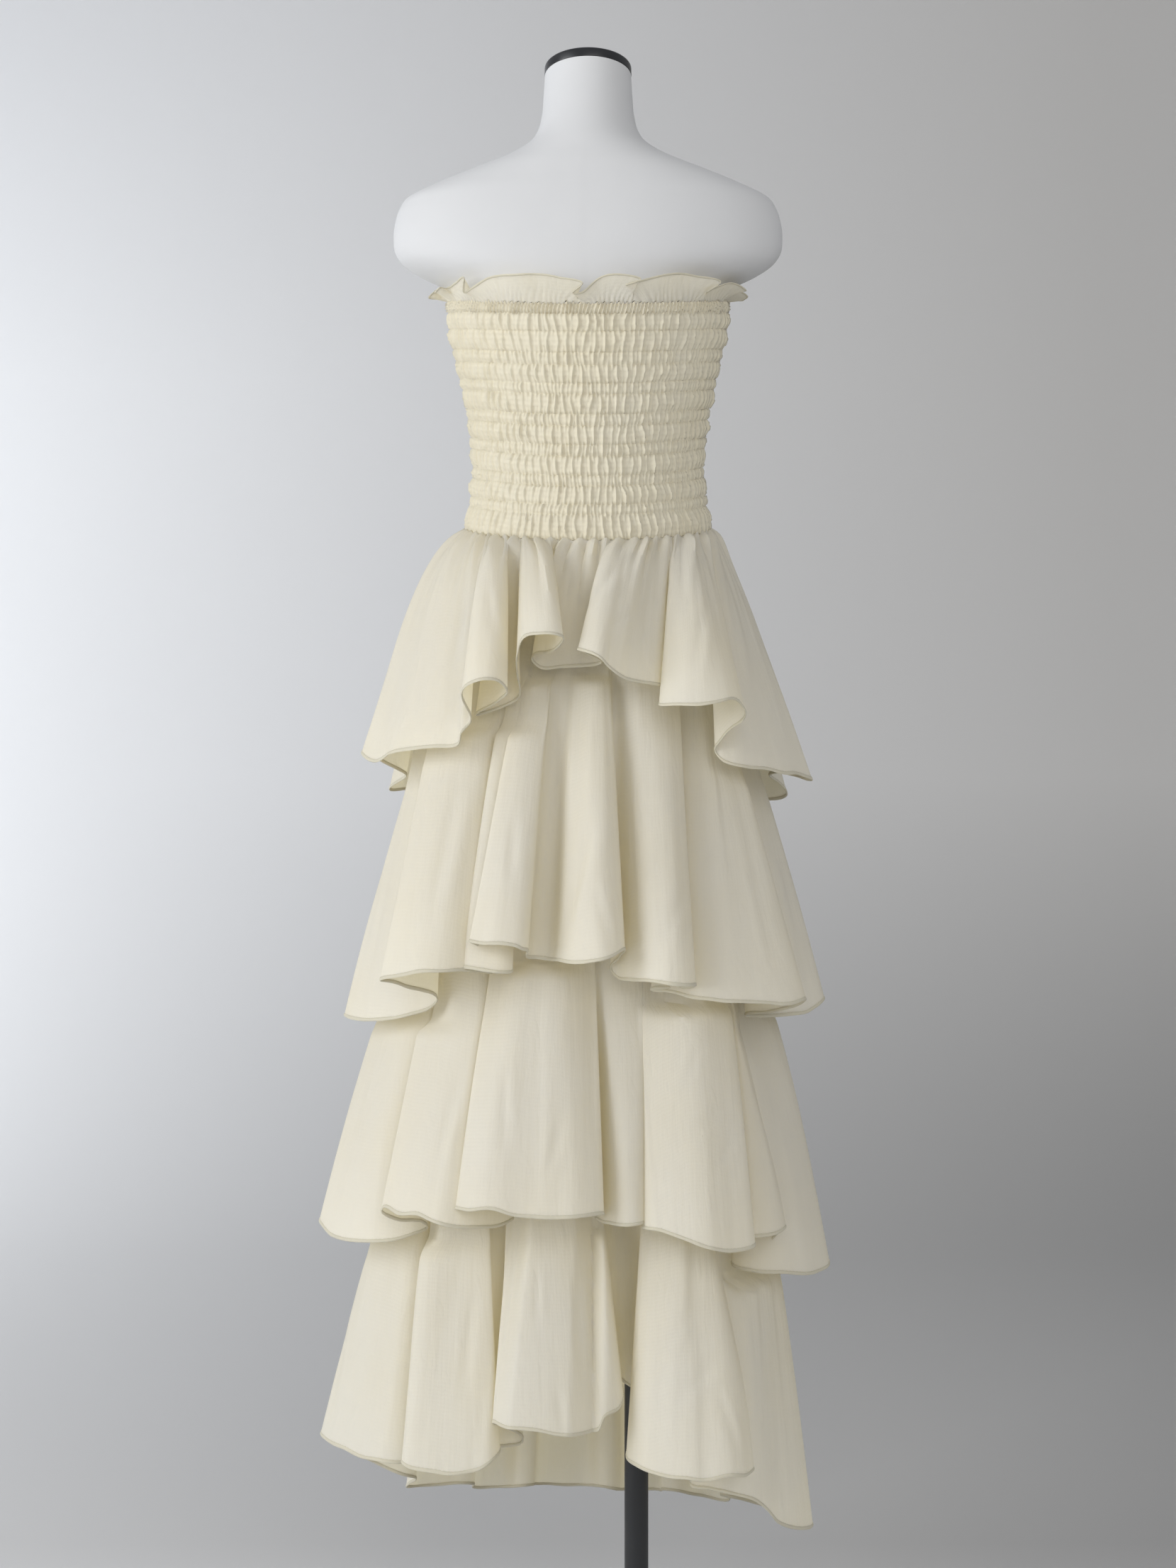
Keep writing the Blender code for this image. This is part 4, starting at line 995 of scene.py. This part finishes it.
def lathe(name, profile, sides, finish):
    """A turned piece about Z from (radius, height) points, from the middle below to the middle above."""
    angles = np.arange(sides) * math.tau / sides
    rings = profile[1:-1]
    points = [(0.0, 0.0, profile[0][1])]
    points += [(r * math.cos(a), r * math.sin(a), z) for r, z in rings for a in angles]
    points.append((0.0, 0.0, profile[-1][1]))
    last = len(points) - 1
    faces = [(0, 1 + (j + 1) % sides, 1 + j) for j in range(sides)]
    faces += tube_faces(1, len(rings), sides)
    top = 1 + (len(rings) - 1) * sides
    faces += [(top + j, top + (j + 1) % sides, last) for j in range(sides)]
    radii = [profile[0][0]] + [r for r, _ in rings for _ in angles] + [profile[-1][0]]
    turns = [0.0] + [a * 0.05 for _ in rings for a in angles] + [0.0]
    uv = np.stack([turns, np.array([p[2] for p in points]) + np.array(radii)], axis=-1)
    return new_piece(name, points, faces, finish, uv, sharp_deg=40.0)


def rounded(corner_radius, corner_height, radius, start_deg, end_deg, steps=6):
    """Points of an arc about a corner's centre, in (radius, height)."""
    return [
        (corner_radius + radius * math.cos(a), corner_height + radius * math.sin(a))
        for a in np.radians(np.linspace(start_deg, end_deg, steps))
    ]


def torso():
    """The form's body: a smooth covered torso, closed under the neck cap and at the pole."""
    shoulders = np.linspace(NECK_TOP, SHOULDER_BOTTOM, SHOULDER_ROWS, endpoint=False)
    heights = np.concatenate([shoulders, np.linspace(SHOULDER_BOTTOM, FORM_BOTTOM, TRUNK_ROWS)])
    rows = len(heights)
    angles = np.arange(TORSO_SIDES) * math.tau / TORSO_SIDES
    points = around(FORM_SECTIONS, angles[None, :], heights[:, None])
    bend = np.clip((heights - NECK_BEND_FROM) / (NECK_TOP - NECK_BEND_FROM), 0.0, 1.0)
    bend = (bend**2 * (3 - 2 * bend))[:, None]
    points[..., 2] -= bend * math.tan(NECK_TILT) * points[..., 1]
    points[..., 1] += bend * NECK_FORWARD
    points[..., 0] += AXIS_X
    faces = [(a, d, c, b) for a, b, c, d in tube_faces(0, rows, TORSO_SIDES)]
    faces.append(tuple(range(TORSO_SIDES)))
    faces.append(tuple((rows - 1) * TORSO_SIDES + j for j in reversed(range(TORSO_SIDES))))
    uv = np.stack(np.broadcast_arrays(angles[None, :] * BODY_RADIUS, heights[:, None]), axis=-1)
    made = new_piece("torso_jersey", points.reshape(-1, 3), faces, JERSEY, uv.reshape(-1, 2))
    placed(made, "white_jersey", "form_torso")


def neck_cap():
    """The domed cap on the neck, tilted with the neck's top."""
    edge, crown = 0.0012, 0.0028
    profile = [(0.0, 0.0)]
    profile += rounded(CAP_RADIUS - edge, edge, edge, -90, 0)
    profile += rounded(CAP_RADIUS - crown, CAP_THICK - crown, crown, 0, 80, 8)
    profile += [(CAP_RADIUS * 0.5, CAP_THICK + 0.0008), (0.0, CAP_THICK + 0.0011)]
    made = lathe("neck_cap_satin", profile, 128, BLACK_CAP)
    turn = Matrix.Rotation(-NECK_TILT, 4, "X")
    made.data.transform(Matrix.Translation((AXIS_X, NECK_FORWARD, NECK_TOP + SEAM_GAP)) @ turn)
    placed(made, "black_cap", "form_neck_cap")


def stand():
    """The round base plate and the pole up into the form, each with a small chamfer."""
    edge, chamfer = 0.0025, 0.0006
    profile = [(0.0, 0.0), (BASE_RADIUS - chamfer, 0.0), (BASE_RADIUS, chamfer)]
    profile += rounded(BASE_RADIUS - edge, BASE_THICK - edge, edge, 0, 90, 8)
    profile += [(BASE_RADIUS * 0.5, BASE_THICK), (0.0, BASE_THICK)]
    placed(lathe("base_plate", profile, 160, BLACK_STEEL), "black_steel", "stand_base")
    low, high = BASE_THICK + SEAM_GAP, FORM_BOTTOM - SEAM_GAP
    heights = np.linspace(low + chamfer, high - chamfer, 24)
    profile = [(0.0, low), (POLE_RADIUS - chamfer, low)]
    profile += [(POLE_RADIUS, z) for z in heights]
    profile += [(POLE_RADIUS - chamfer, high), (0.0, high)]
    placed(lathe("pole_tube", profile, 64, BLACK_STEEL), "black_steel", "stand_pole")


def bodice_points(angles, shares, out):
    """Points on the bodice by share of the way down from the casing, a distance out from the form."""
    lift = drop(angles)
    heights = CASING_BOTTOM - SEAM_GAP + shares * (WAIST_SEAM - CASING_BOTTOM + SEAM_GAP) - lift
    return around(FORM_SECTIONS, angles, heights, out)


def puffs(shares):
    """How full the cloth is at each share of the way down: 0 at a thread, 1 at its roundest."""
    rows = np.array(ELASTIC_ROWS)
    i = np.clip(np.searchsorted(rows, shares, side="right") - 1, 0, len(rows) - 2)
    share = (shares - rows[i]) / (rows[i + 1] - rows[i])
    broad = np.clip((rows[i + 1] - rows[i]) / 0.085, 0.0, 1.0)
    return np.sin(math.pi * np.clip(share, 0.0, 1.0)) ** 0.72 * (0.30 + 0.70 * broad**1.6)


def gathered(name, outer, inner, puff, shift, slot, node, flat, **changes):
    """A cloth with real gathers, made by the gathering tree from a plain wall."""
    uv, inner_uv = grid_uv(outer), grid_uv(inner)
    plain = shell(name + "_plain", outer, inner, uv, inner_uv, SHIRRED)
    inside = len(inner_uv.reshape(-1, 2))
    values = {"turn": uv[..., 0], "fall": -uv[..., 1], "puff": puff, "shift": shift, "face": 1.0}
    for label, numbers in values.items():
        numbers = np.append(np.broadcast_to(numbers, outer.shape[:2]), np.zeros(inside))
        layer = plain.data.attributes.new(label, "FLOAT", "POINT")
        layer.data.foreach_set("value", numbers.astype(np.float32))
    made = GATHERS.applied(plain, name, **changes)
    placed(made, slot, node)


def bodice(front):
    """Half of the shirred bodice, with a row of points on each elastic thread, and the stitches there."""
    side = "front" if front else "back"
    angles = half_angles(BODICE_COLUMNS, front)
    bands = [
        np.linspace(above, below, max(5, round((below - above) / BODICE_STEP)), endpoint=False)
        for above, below in zip(ELASTIC_ROWS, ELASTIC_ROWS[1:])
    ]
    shares = np.append(np.concatenate(bands), 1.0)[:, None]
    puff = puffs(shares)
    sag = 0.0007 * soft_noise(np.degrees(angles)[None, :] / 7.0, shares * 30.0, 40)
    raised = GROOVE_HEIGHT + (PUFF_HEIGHT + sag) * puff
    outer = bodice_points(angles[None, :], shares, EASE_OVER_FORM + WALL + raised)
    inside = np.linspace(0, 1, INSIDE_ROWS)[:, None]
    inner = bodice_points(half_angles(INSIDE_COLUMNS, front)[None, :], inside, EASE_OVER_FORM)
    row = np.searchsorted(np.array(ELASTIC_ROWS), shares, side="right") - 1
    shift = 0.5 * (row % 2) + 0.5 * (row % 3 == 1)
    name = f"bodice_{side}"
    gathered(name + "_shirring", outer, inner, puff, shift, "shirred_voile", name, flat=(0.44, 0.240))
    rows = [
        bodice_points(half_angles(220, front), share, EASE_OVER_FORM + WALL + GROOVE_HEIGHT + 0.0002)
        for share in ELASTIC_ROWS[1:-1]
    ]
    stitched(f"elastic_stitches_{side}", rows, "shirred_voile", Spacing=0.0034, Length=0.0024)


def casing(front):
    """Half of the round elastic channel, with slanting gathers."""
    side = "front" if front else "back"
    angles = half_angles(CASING_COLUMNS, front)
    share = np.linspace(0.0, 1.0, CASING_ROWS)[:, None]
    level = CASING_TOP + share * (CASING_BOTTOM - CASING_TOP) - drop(angles)[None, :]
    rounding = np.sin(math.pi * share) ** 0.5
    outer = around(FORM_SECTIONS, angles[None, :], level, CASING_EASE + 0.0009 + 0.0012 * rounding)
    plain = half_angles(INSIDE_COLUMNS, front)
    flat_level = np.array([CASING_TOP, CASING_BOTTOM])[:, None] - drop(plain)[None, :]
    inner = around(FORM_SECTIONS, plain[None, :], flat_level, CASING_EASE)
    name = f"casing_{side}"
    sizes = dict(Pitch=0.0076, Low=0.0030, Slant=0.6, Wander=0.6, Lean=0.25)
    gathered(name + "_channel", outer, inner, 0.0, 0.0, "shirred_voile", name, flat=(0.60, 0.012), **sizes)


def frill_rows(angles_deg):
    """The edge's angle, lean and rise above each place on the foot."""
    rows = list(FRILL_WAVES)
    before = [(foot - 360.0, edge - 360.0, lean, rise) for foot, edge, lean, rise in rows[-3:]]
    after = [(foot + 360.0, edge + 360.0, lean, rise) for foot, edge, lean, rise in rows[:3]]
    return between_rows(before + rows + after, angles_deg)


def frill(front):
    """Half of the standing ruffle: its edge swings off its foot, and its foot is finely pleated."""
    side = "front" if front else "back"
    angles = half_angles(FRILL_COLUMNS, front)
    columns = frill_rows(np.degrees(angles))
    edge_angle, lean, rise = (columns[:, k][None, :] for k in range(3))
    edge_angle = np.radians(edge_angle)
    up = np.linspace(1.0, 0.0, FRILL_ROWS)[:, None]
    degrees = np.degrees(angles)[None, :]
    turned = angles[None, :] + (edge_angle - angles[None, :]) * up**1.2
    level = CASING_TOP + SEAM_GAP - drop(angles)[None, :] + 0.0 * up
    foot = around(FORM_SECTIONS, turned, level, CASING_EASE + 0.0010)
    out = np.stack([np.sin(turned), -np.cos(turned)], axis=-1)
    outer = foot.copy()
    pleats = np.abs(np.sin(math.pi * (degrees / 2.3 + 1.2 * soft_noise(degrees / 9.0, up, 7))))
    pleats = (pleats**0.7 - 0.5) * 0.0024 * np.exp(-up / 0.40) * np.minimum(up / 0.08, 1.0)
    ripple = 0.0011 * soft_noise(degrees / 4.0, up * 1.2, 9) * up
    outer[..., :2] += out * (lean * up**1.4 + pleats + ripple)[..., None]
    outer[..., 2] += rise * up**0.8
    out_of_cloth = -grid_normals(outer)
    out_of_cloth *= np.sign((out_of_cloth[..., :2] * out).sum(-1))[..., None]
    inner = outer - VOILE_THICK * out_of_cloth
    uv = grid_uv(outer)
    made = shell(f"frill_{side}_ruffle", outer, inner, uv, uv, VOILE)
    down = outer[1] - outer[0]
    down /= np.linalg.norm(down, axis=-1, keepdims=True)
    hem = band(f"frill_{side}_hem", outer[0], -down, out_of_cloth[0], FRILL_HEM_HEIGHT, FRILL_HEM_THICK, 21)
    placed(made, "cream_voile", f"frill_{side}")
    placed(hem, "cream_voile")


def underskirt_table():
    """The underskirt's sections: sewn in under the waist seam, then clear of the form's hips."""
    waist = [
        (z, *(between_rows(FORM_SECTIONS, z) + EASE_OVER_FORM + WALL))
        for z in (WAIST_SEAM + BACK_DROP, WAIST_SEAM, WAIST_SEAM - BACK_DROP)
    ]
    return tuple(waist) + UNDERSKIRT_SECTIONS


def underskirt(front):
    """Half of the plain skirt under the tiers, which the lower three are sewn to."""
    side = "front" if front else "back"
    angles = half_angles(UNDERSKIRT_COLUMNS, front)[None, :]
    top = WAIST_SEAM - SEAM_GAP - drop(angles)
    level = top + np.linspace(0.0, 1.0, UNDERSKIRT_ROWS)[:, None] * (UNDERSKIRT_HEM - top)
    outer = around(underskirt_table(), angles, level)
    inner = outer - VOILE_THICK * grid_normals(outer)
    uv = grid_uv(outer)
    made = shell(f"underskirt_{side}_voile", outer, inner, uv, uv, UNDER)
    placed(made, "cream_voile", f"underskirt_{side}")


def kept_outside(points, table, out):
    """Points moved outwards where they would come nearer than this to a body of oval sections."""
    angle = np.arctan2(points[..., 0], -points[..., 1])
    width, back, front = np.moveaxis(between_rows(table, points[..., 2]), -1, 0)
    depth = np.where(np.cos(angle) > 0, back, front) + out
    least = 1.0 / np.hypot(np.sin(angle) / (width + out), np.cos(angle) / depth)
    below = np.maximum(table[-1][0] - points[..., 2], 0.0)
    least = least - OPEN_BELOW * below
    reach = np.hypot(points[..., 0], points[..., 1])
    points[..., :2] *= (np.maximum(reach, least) / reach)[..., None]
    return points


class Hem:
    """A tier's hem as one closed curve, found by the angle in degrees of the seam above it."""

    SAMPLES = 24

    def __init__(self, tier, table):
        width, _, depth = between_rows(table, tier.seam)
        knots = [(*row, 0.0, 0.0) for row in tier.back]
        crests = [math.degrees(math.atan2(f.x / width, -f.y / depth)) % 360.0 for f in tier.front]
        valleys = [0.5 * (a + b) for a, b in zip(crests, crests[1:])] + [270.0]
        for fold, crest, valley in zip(tier.front, crests, valleys):
            knots.append((fold.x, fold.y, fold.z, crest, fold.left, fold.right))
            bottom = (fold.valley_x, fold.valley_y, fold.valley_z)
            knots.append((*bottom, valley, fold.valley_full, fold.valley_full))
        knots = np.array(knots)
        points, degrees = knots[:, :3], knots[:, 3]
        after, before = np.roll(points, -1, axis=0), np.roll(points, 1, axis=0)
        slopes = after - before
        slopes[:, 2] *= np.where(knots[:, 4] > 0.0, 0.5, 1.0)
        size = np.linalg.norm(slopes, axis=1)
        plain = knots[:, 4] == 0.0
        step_in = np.linalg.norm(points - before, axis=1) / size
        step_out = np.linalg.norm(after - points, axis=1) / size
        arriving = slopes * np.where(plain, step_in, knots[:, 4])[:, None]
        leaving = slopes * np.where(plain, step_out, knots[:, 5])[:, None]
        t = (np.arange(self.SAMPLES) / self.SAMPLES)[None, :, None]
        arriving_next = np.roll(arriving, -1, axis=0)
        ends = (points[:, None], leaving[:, None], after[:, None], arriving_next[:, None])
        curve = on_curve(t, *ends).reshape(-1, 3)
        ahead = np.append(degrees[1:], degrees[0] + 360.0)
        turns = (degrees[:, None] + (ahead - degrees)[:, None] * t[0, :, 0]).ravel()
        marks = (turns + 90.0) % 360.0 - 90.0
        order = np.argsort(marks)
        seam = np.array([[np.interp(270.0, turns, curve[:, k], period=360.0) for k in range(3)]])
        self.marks = np.concatenate([[-90.0], marks[order] + 1e-9, [270.0]])
        self.curve = np.concatenate([seam, curve[order], seam])
        self.lengths = steps_along(self.curve, 0)

    def points(self, degrees):
        return np.stack([np.interp(degrees, self.marks, self.curve[:, k]) for k in range(3)], axis=-1)

    def length(self, degrees):
        return np.interp(degrees, self.marks, self.lengths)

    def columns(self, start, end, count):
        """Seam angles whose places on the hem are nearly even steps apart."""
        even = np.linspace(start, end, count)
        along = np.linspace(self.length(start), self.length(end), count)
        return 0.15 * even + 0.85 * np.interp(along, self.lengths, self.marks)


def swollen(tier, down, angles):
    """The share of the way out from seam to hem: quick just under the seam, and less so at the right."""
    quick = (1.0 - np.exp(-down / tier.swell_over)) / (1.0 - math.exp(-1.0 / tier.swell_over))
    share = tier.swell - tier.right_hangs * np.maximum(np.sin(angles), 0.0)
    return share * quick + (1.0 - share) * down


def tier_surface(tier, hem, degrees, down, over, seed):
    """Points of a tier by seam angle and share of the way down, kept under the tier above."""
    table = underskirt_table()
    angles = np.radians(degrees)
    level = tier.seam - SEAM_GAP - (drop(angles) if tier.seam == WAIST_SEAM else 0.0)
    seam = around(table, angles, level, SEAM_SEAT)
    edge = hem.points(degrees)
    swell = swollen(tier, down, angles)[..., None]
    points = seam * (1 - swell) + edge * swell
    points[..., 2] = (seam[..., 2] * (1 - down)) + edge[..., 2] * down
    fall = down * (seam[..., 2] - edge[..., 2])
    rise = 1.0 - np.exp(-fall / SEAM_FLAT)
    turned = angles + 0.035 * soft_noise(angles * 5.0, 0.0, seed)
    pleat = np.abs(np.sin(0.5 * tier.gathers * turned)) ** 0.7 - 0.62
    fold = np.abs(np.sin(0.25 * tier.gathers * turned + 0.8)) ** 0.8 - 0.60
    fine = soft_noise(angles * 38.0, fall * 18.0, seed + 4)
    gathers = pleat * np.exp(-fall / PLEAT_REACH) + 0.75 * fold * np.exp(-fall / FOLD_REACH)
    gathers = gathers + 0.35 * fine * np.exp(-fall / FINE_REACH)
    push = tier.gather_height * rise * gathers
    along = hem.length(degrees)
    soft = 0.0020 * soft_noise(along * 34.0, down * 1.7, seed + 1)
    soft = soft + 0.0010 * soft_noise(along * 80.0, down * 2.6, seed + 2)
    from_seam = np.minimum(along, hem.lengths[-1] - along)
    calm = np.clip(from_seam / SIDE_SEAM_CALM, 0.0, 1.0)
    push = (push + soft * np.minimum(down * 3.0, 1.0)) * calm
    head = tier.gather_height * np.maximum(pleat, -0.2) * np.exp(-fall / SCALLOP_REACH) * calm
    outward = points[..., :2] / np.linalg.norm(points[..., :2], axis=-1, keepdims=True)
    points[..., :2] += outward * (push + 0.25 * head)[..., None]
    points[..., 2] += 0.55 * head
    points[..., 2] += 0.0012 * soft_noise(along * 42.0, 0.0, seed + 3) * down * calm
    if over:
        points = over.kept_under(points)
    return kept_outside(points, table, SEAM_SEAT)


class Canopy:
    """The room under a tier: how far from the axis another layer may reach, by angle and height."""

    ANGLES = 120
    STEP = 0.010
    LOWEST = 0.10
    LEVELS = 120
    BESIDE = range(-3, 4)
    OPEN_SLOPE = 0.34
    SOFT = 0.005

    def __init__(self, points):
        angle = np.arctan2(points[..., 0], -points[..., 1]).ravel()
        reach = np.hypot(points[..., 0], points[..., 1]).ravel()
        column = np.floor((angle / math.tau % 1.0) * self.ANGLES).astype(int) % self.ANGLES
        level = ((points[..., 2].ravel() - self.LOWEST) / self.STEP).astype(int)
        room = np.full((self.LEVELS, self.ANGLES), np.inf)
        np.minimum.at(room, (level, column), reach)
        room = np.min([np.roll(room, k, axis=1) for k in self.BESIDE], axis=0)
        for i in range(self.LEVELS - 2, -1, -1):
            empty = np.isinf(room[i])
            room[i, empty] = room[i + 1, empty] + self.OPEN_SLOPE * self.STEP
        room = np.minimum(np.minimum(room, np.roll(room, -1, axis=0)), 1.0)
        self.room = np.mean([np.roll(room, k, axis=1) for k in self.BESIDE], axis=0)

    def kept_under(self, points):
        angle = np.arctan2(points[..., 0], -points[..., 1]) / math.tau % 1.0 * self.ANGLES - 0.5
        level = np.clip((points[..., 2] - self.LOWEST) / self.STEP - 0.5, 0, self.LEVELS - 1.001)
        i, j = np.floor(level).astype(int), np.floor(angle).astype(int)
        u, w = level - i, angle - j
        j, k = j % self.ANGLES, (j + 1) % self.ANGLES
        room = (self.room[i, j] * (1 - w) + self.room[i, k] * w) * (1 - u)
        room = room + (self.room[i + 1, j] * (1 - w) + self.room[i + 1, k] * w) * u
        limit = room - LAYER_CLEARANCE - WALL
        reach = np.hypot(points[..., 0], points[..., 1])
        kept = -self.SOFT * np.logaddexp(-reach / self.SOFT, -limit / self.SOFT)
        points[..., :2] *= (kept / reach)[..., None]
        return points


def creased(points, degrees, down, number):
    """The cloth with its listed lines pressed in as soft troughs with a raised lip beside them."""
    normal = grid_normals(points)
    along = steps_along(points, 1)
    for crease in CREASES:
        if crease.tier != number or not degrees[0, 0] < crease.seam_deg < degrees[0, -1]:
            continue
        column = int(np.argmin(np.abs(degrees[0] - crease.seam_deg)))
        row = int(np.argmin(np.abs(down[:, 0] - crease.down)))
        column = min(max(column, 1), points.shape[1] - 2)
        fall = points[row + 1, column] - points[row - 1, column]
        fall = fall / np.linalg.norm(fall)
        right = np.cross(normal[row, column], fall)
        away = points - points[row, column]
        lean = math.radians(crease.lean_deg)
        side = away @ (right * math.cos(lean) + fall * math.sin(lean))
        length = away @ (fall * math.cos(lean) - right * math.sin(lean))
        depth = away @ normal[row, column]
        layer = along - along[:, column : column + 1]
        far = (length / (0.5 * crease.length)) ** 4 + (depth / NEAR_DEPTH) ** 4 + (layer / NEAR_CLOTH) ** 4
        window = np.exp(-far)
        trough = -np.exp(-((side / crease.width) ** 2))
        lip = 0.55 * np.exp(-(((side - 1.9 * crease.width) / crease.width) ** 2))
        points = points + normal * (crease.depth * window * (trough + lip))[..., None]
    return points


def tiers():
    """The four flounces with their hems and hem stitches, each kept under the one above."""
    over = None
    table = underskirt_table()
    for number, tier in enumerate(TIERS, 1):
        edge = Hem(tier, table)
        stitch_paths = []
        for side, start in (("back", -90.0), ("front", 90.0)):
            ends = (start + HALF_SEAM_DEG, start + 180.0 - HALF_SEAM_DEG)
            degrees = edge.columns(*ends, TIER_COLUMNS[side])[None, :]
            down = (np.linspace(0.0, 1.0, TIER_ROWS) ** 1.15)[:, None]
            degrees, down = np.broadcast_arrays(degrees, down)
            smooth = tier_surface(tier, edge, degrees, down, over, 100 * number)
            outer = creased(smooth, degrees, down, number)
            normal = grid_normals(outer)
            inner = outer - VOILE_THICK * normal
            inner[0, :, 2] = outer[0, :, 2]
            uv = grid_uv(outer)
            name = f"tier_{number}_{side}"
            made = shell(name + "_voile", outer, inner, uv, uv, VOILE)
            below = outer[-1] - outer[-2]
            below /= np.linalg.norm(below, axis=-1, keepdims=True)
            hem = band(name + "_hem", outer[-1], below, normal[-1], HEM_HEIGHT, HEM_THICK, 30 + number)
            placed(made, "cream_voile", name)
            placed(hem, "cream_voile")
            stitch_paths.append(outer[-1] - below * (HEM_HEIGHT * 0.92) + normal[-1] * STITCH_LIFT)
        stitched(f"tier_{number}_hem_stitches", stitch_paths, "cream_voile", Spacing=0.0042, Length=0.0028)
        all_round = edge.columns(-90.0, 270.0, CANOPY_COLUMNS)[None, :]
        degrees, down = np.broadcast_arrays(all_round, np.linspace(0.0, 1.0, CANOPY_ROWS)[:, None])
        over = Canopy(tier_surface(tier, edge, degrees, down, over, 100 * number))


def camera():
    """The camera stands behind the dress, level, at the photograph's height and distance."""
    data = bpy.data.cameras.new("photo_view")
    data.sensor_width = 36.0
    data.lens = LENS
    made = bpy.data.objects.new("photo_view", data)
    made.location = (AXIS_X, -CAMERA_DISTANCE, CAMERA_HEIGHT)
    made.rotation_euler = (math.radians(90.0), 0.0, 0.0)
    bpy.context.scene.collection.objects.link(made)
    bpy.context.scene.camera = made


def area_light(name, place, aim, size, power, colour):
    """A soft rectangular light at one place, turned towards another."""
    data = bpy.data.lights.new(name, "AREA")
    data.shape = "RECTANGLE"
    data.size, data.size_y = size
    data.energy = power
    data.color = colour
    made = bpy.data.objects.new(name, data)
    made.location = place
    made.rotation_euler = (Vector(aim) - Vector(place)).to_track_quat("-Z", "Y").to_euler()
    bpy.context.scene.collection.objects.link(made)


def studio():
    """A pale grey wall that runs round into a pale floor, lit softly from the left, its colour darkened
    with painted shade towards the right and low on the right.
    """
    finish = Finish("studio_wall", 0.9)
    clouds = finish.noise("Object", (0.9, 0.9, 0.9), 2.0, 0.4)
    place = finish.node("ShaderNodeSeparateXYZ", Vector=finish.coordinates("Object", (1.0, 1.0, 1.0)))
    # Painted shade: the wall and the floor behind it darken towards the right, where the light falls off
    behind = finish.between(place.outputs[1], 0.0, 1.0, -0.1, 0.6)
    painted_shade_share = finish.math("MULTIPLY", behind, finish.between(place.outputs[0], 0.0, 1.0, -1.8, 1.5))
    # A deeper painted shade low down on the right; right is the wall's colour with its painted shade
    lower = finish.math("MULTIPLY", painted_shade_share, finish.between(place.outputs[2], 1.0, 0.0, -0.3, 1.0))
    right = finish.shade(painted_shade_share, finish.shade(clouds, WALL_PALE, WALL_PALER), WALL_PAINTED_SHADE)
    finish.colour(lower, right, WALL_PAINTED_DEEP_SHADE)
    profile = [(FLOOR_FRONT, 0.0), (0.5 * FLOOR_FRONT, 0.0)]
    profile += rounded(WALL_Y - WALL_BEND, WALL_BEND, WALL_BEND, -90, 0, 16)
    profile.append((WALL_Y, WALL_TOP))
    points = [(x, y, z) for x in (-WALL_REACH, WALL_REACH) for y, z in profile]
    count = len(profile)
    faces = [(i, i + count, i + count + 1, i + 1) for i in range(count - 1)]
    new_piece("studio_sweep", points, faces, finish.made)
    area_light("window", (-3.1, -1.9, 1.9), (0.0, 0.0, 1.0), (2.2, 2.8), 90.0, (0.955, 0.975, 1.0))
    area_light("room", (0.7, -3.4, 2.3), (-0.1, 0.0, 1.3), (2.4, 2.0), 36.0, (1.0, 0.985, 0.955))
    area_light("wash", (-3.9, 1.9, 1.1), (-1.9, 4.4, 0.3), (1.6, 2.0), 74.0, (0.93, 0.965, 1.0))
    world = bpy.data.worlds.new("soft_room")
    world.use_nodes = True
    background = world.node_tree.nodes["Background"]
    background.inputs["Color"].default_value = (0.93, 0.95, 1.0, 1.0)
    background.inputs["Strength"].default_value = 0.42
    bpy.context.scene.world = world
    bpy.context.scene.view_settings.view_transform = "Standard"
    bpy.context.scene.cycles.diffuse_bounces = 10


camera()
torso()
neck_cap()
stand()
for is_front in (False, True):
    bodice(is_front)
    casing(is_front)
    frill(is_front)
    underskirt(is_front)
tiers()
studio()
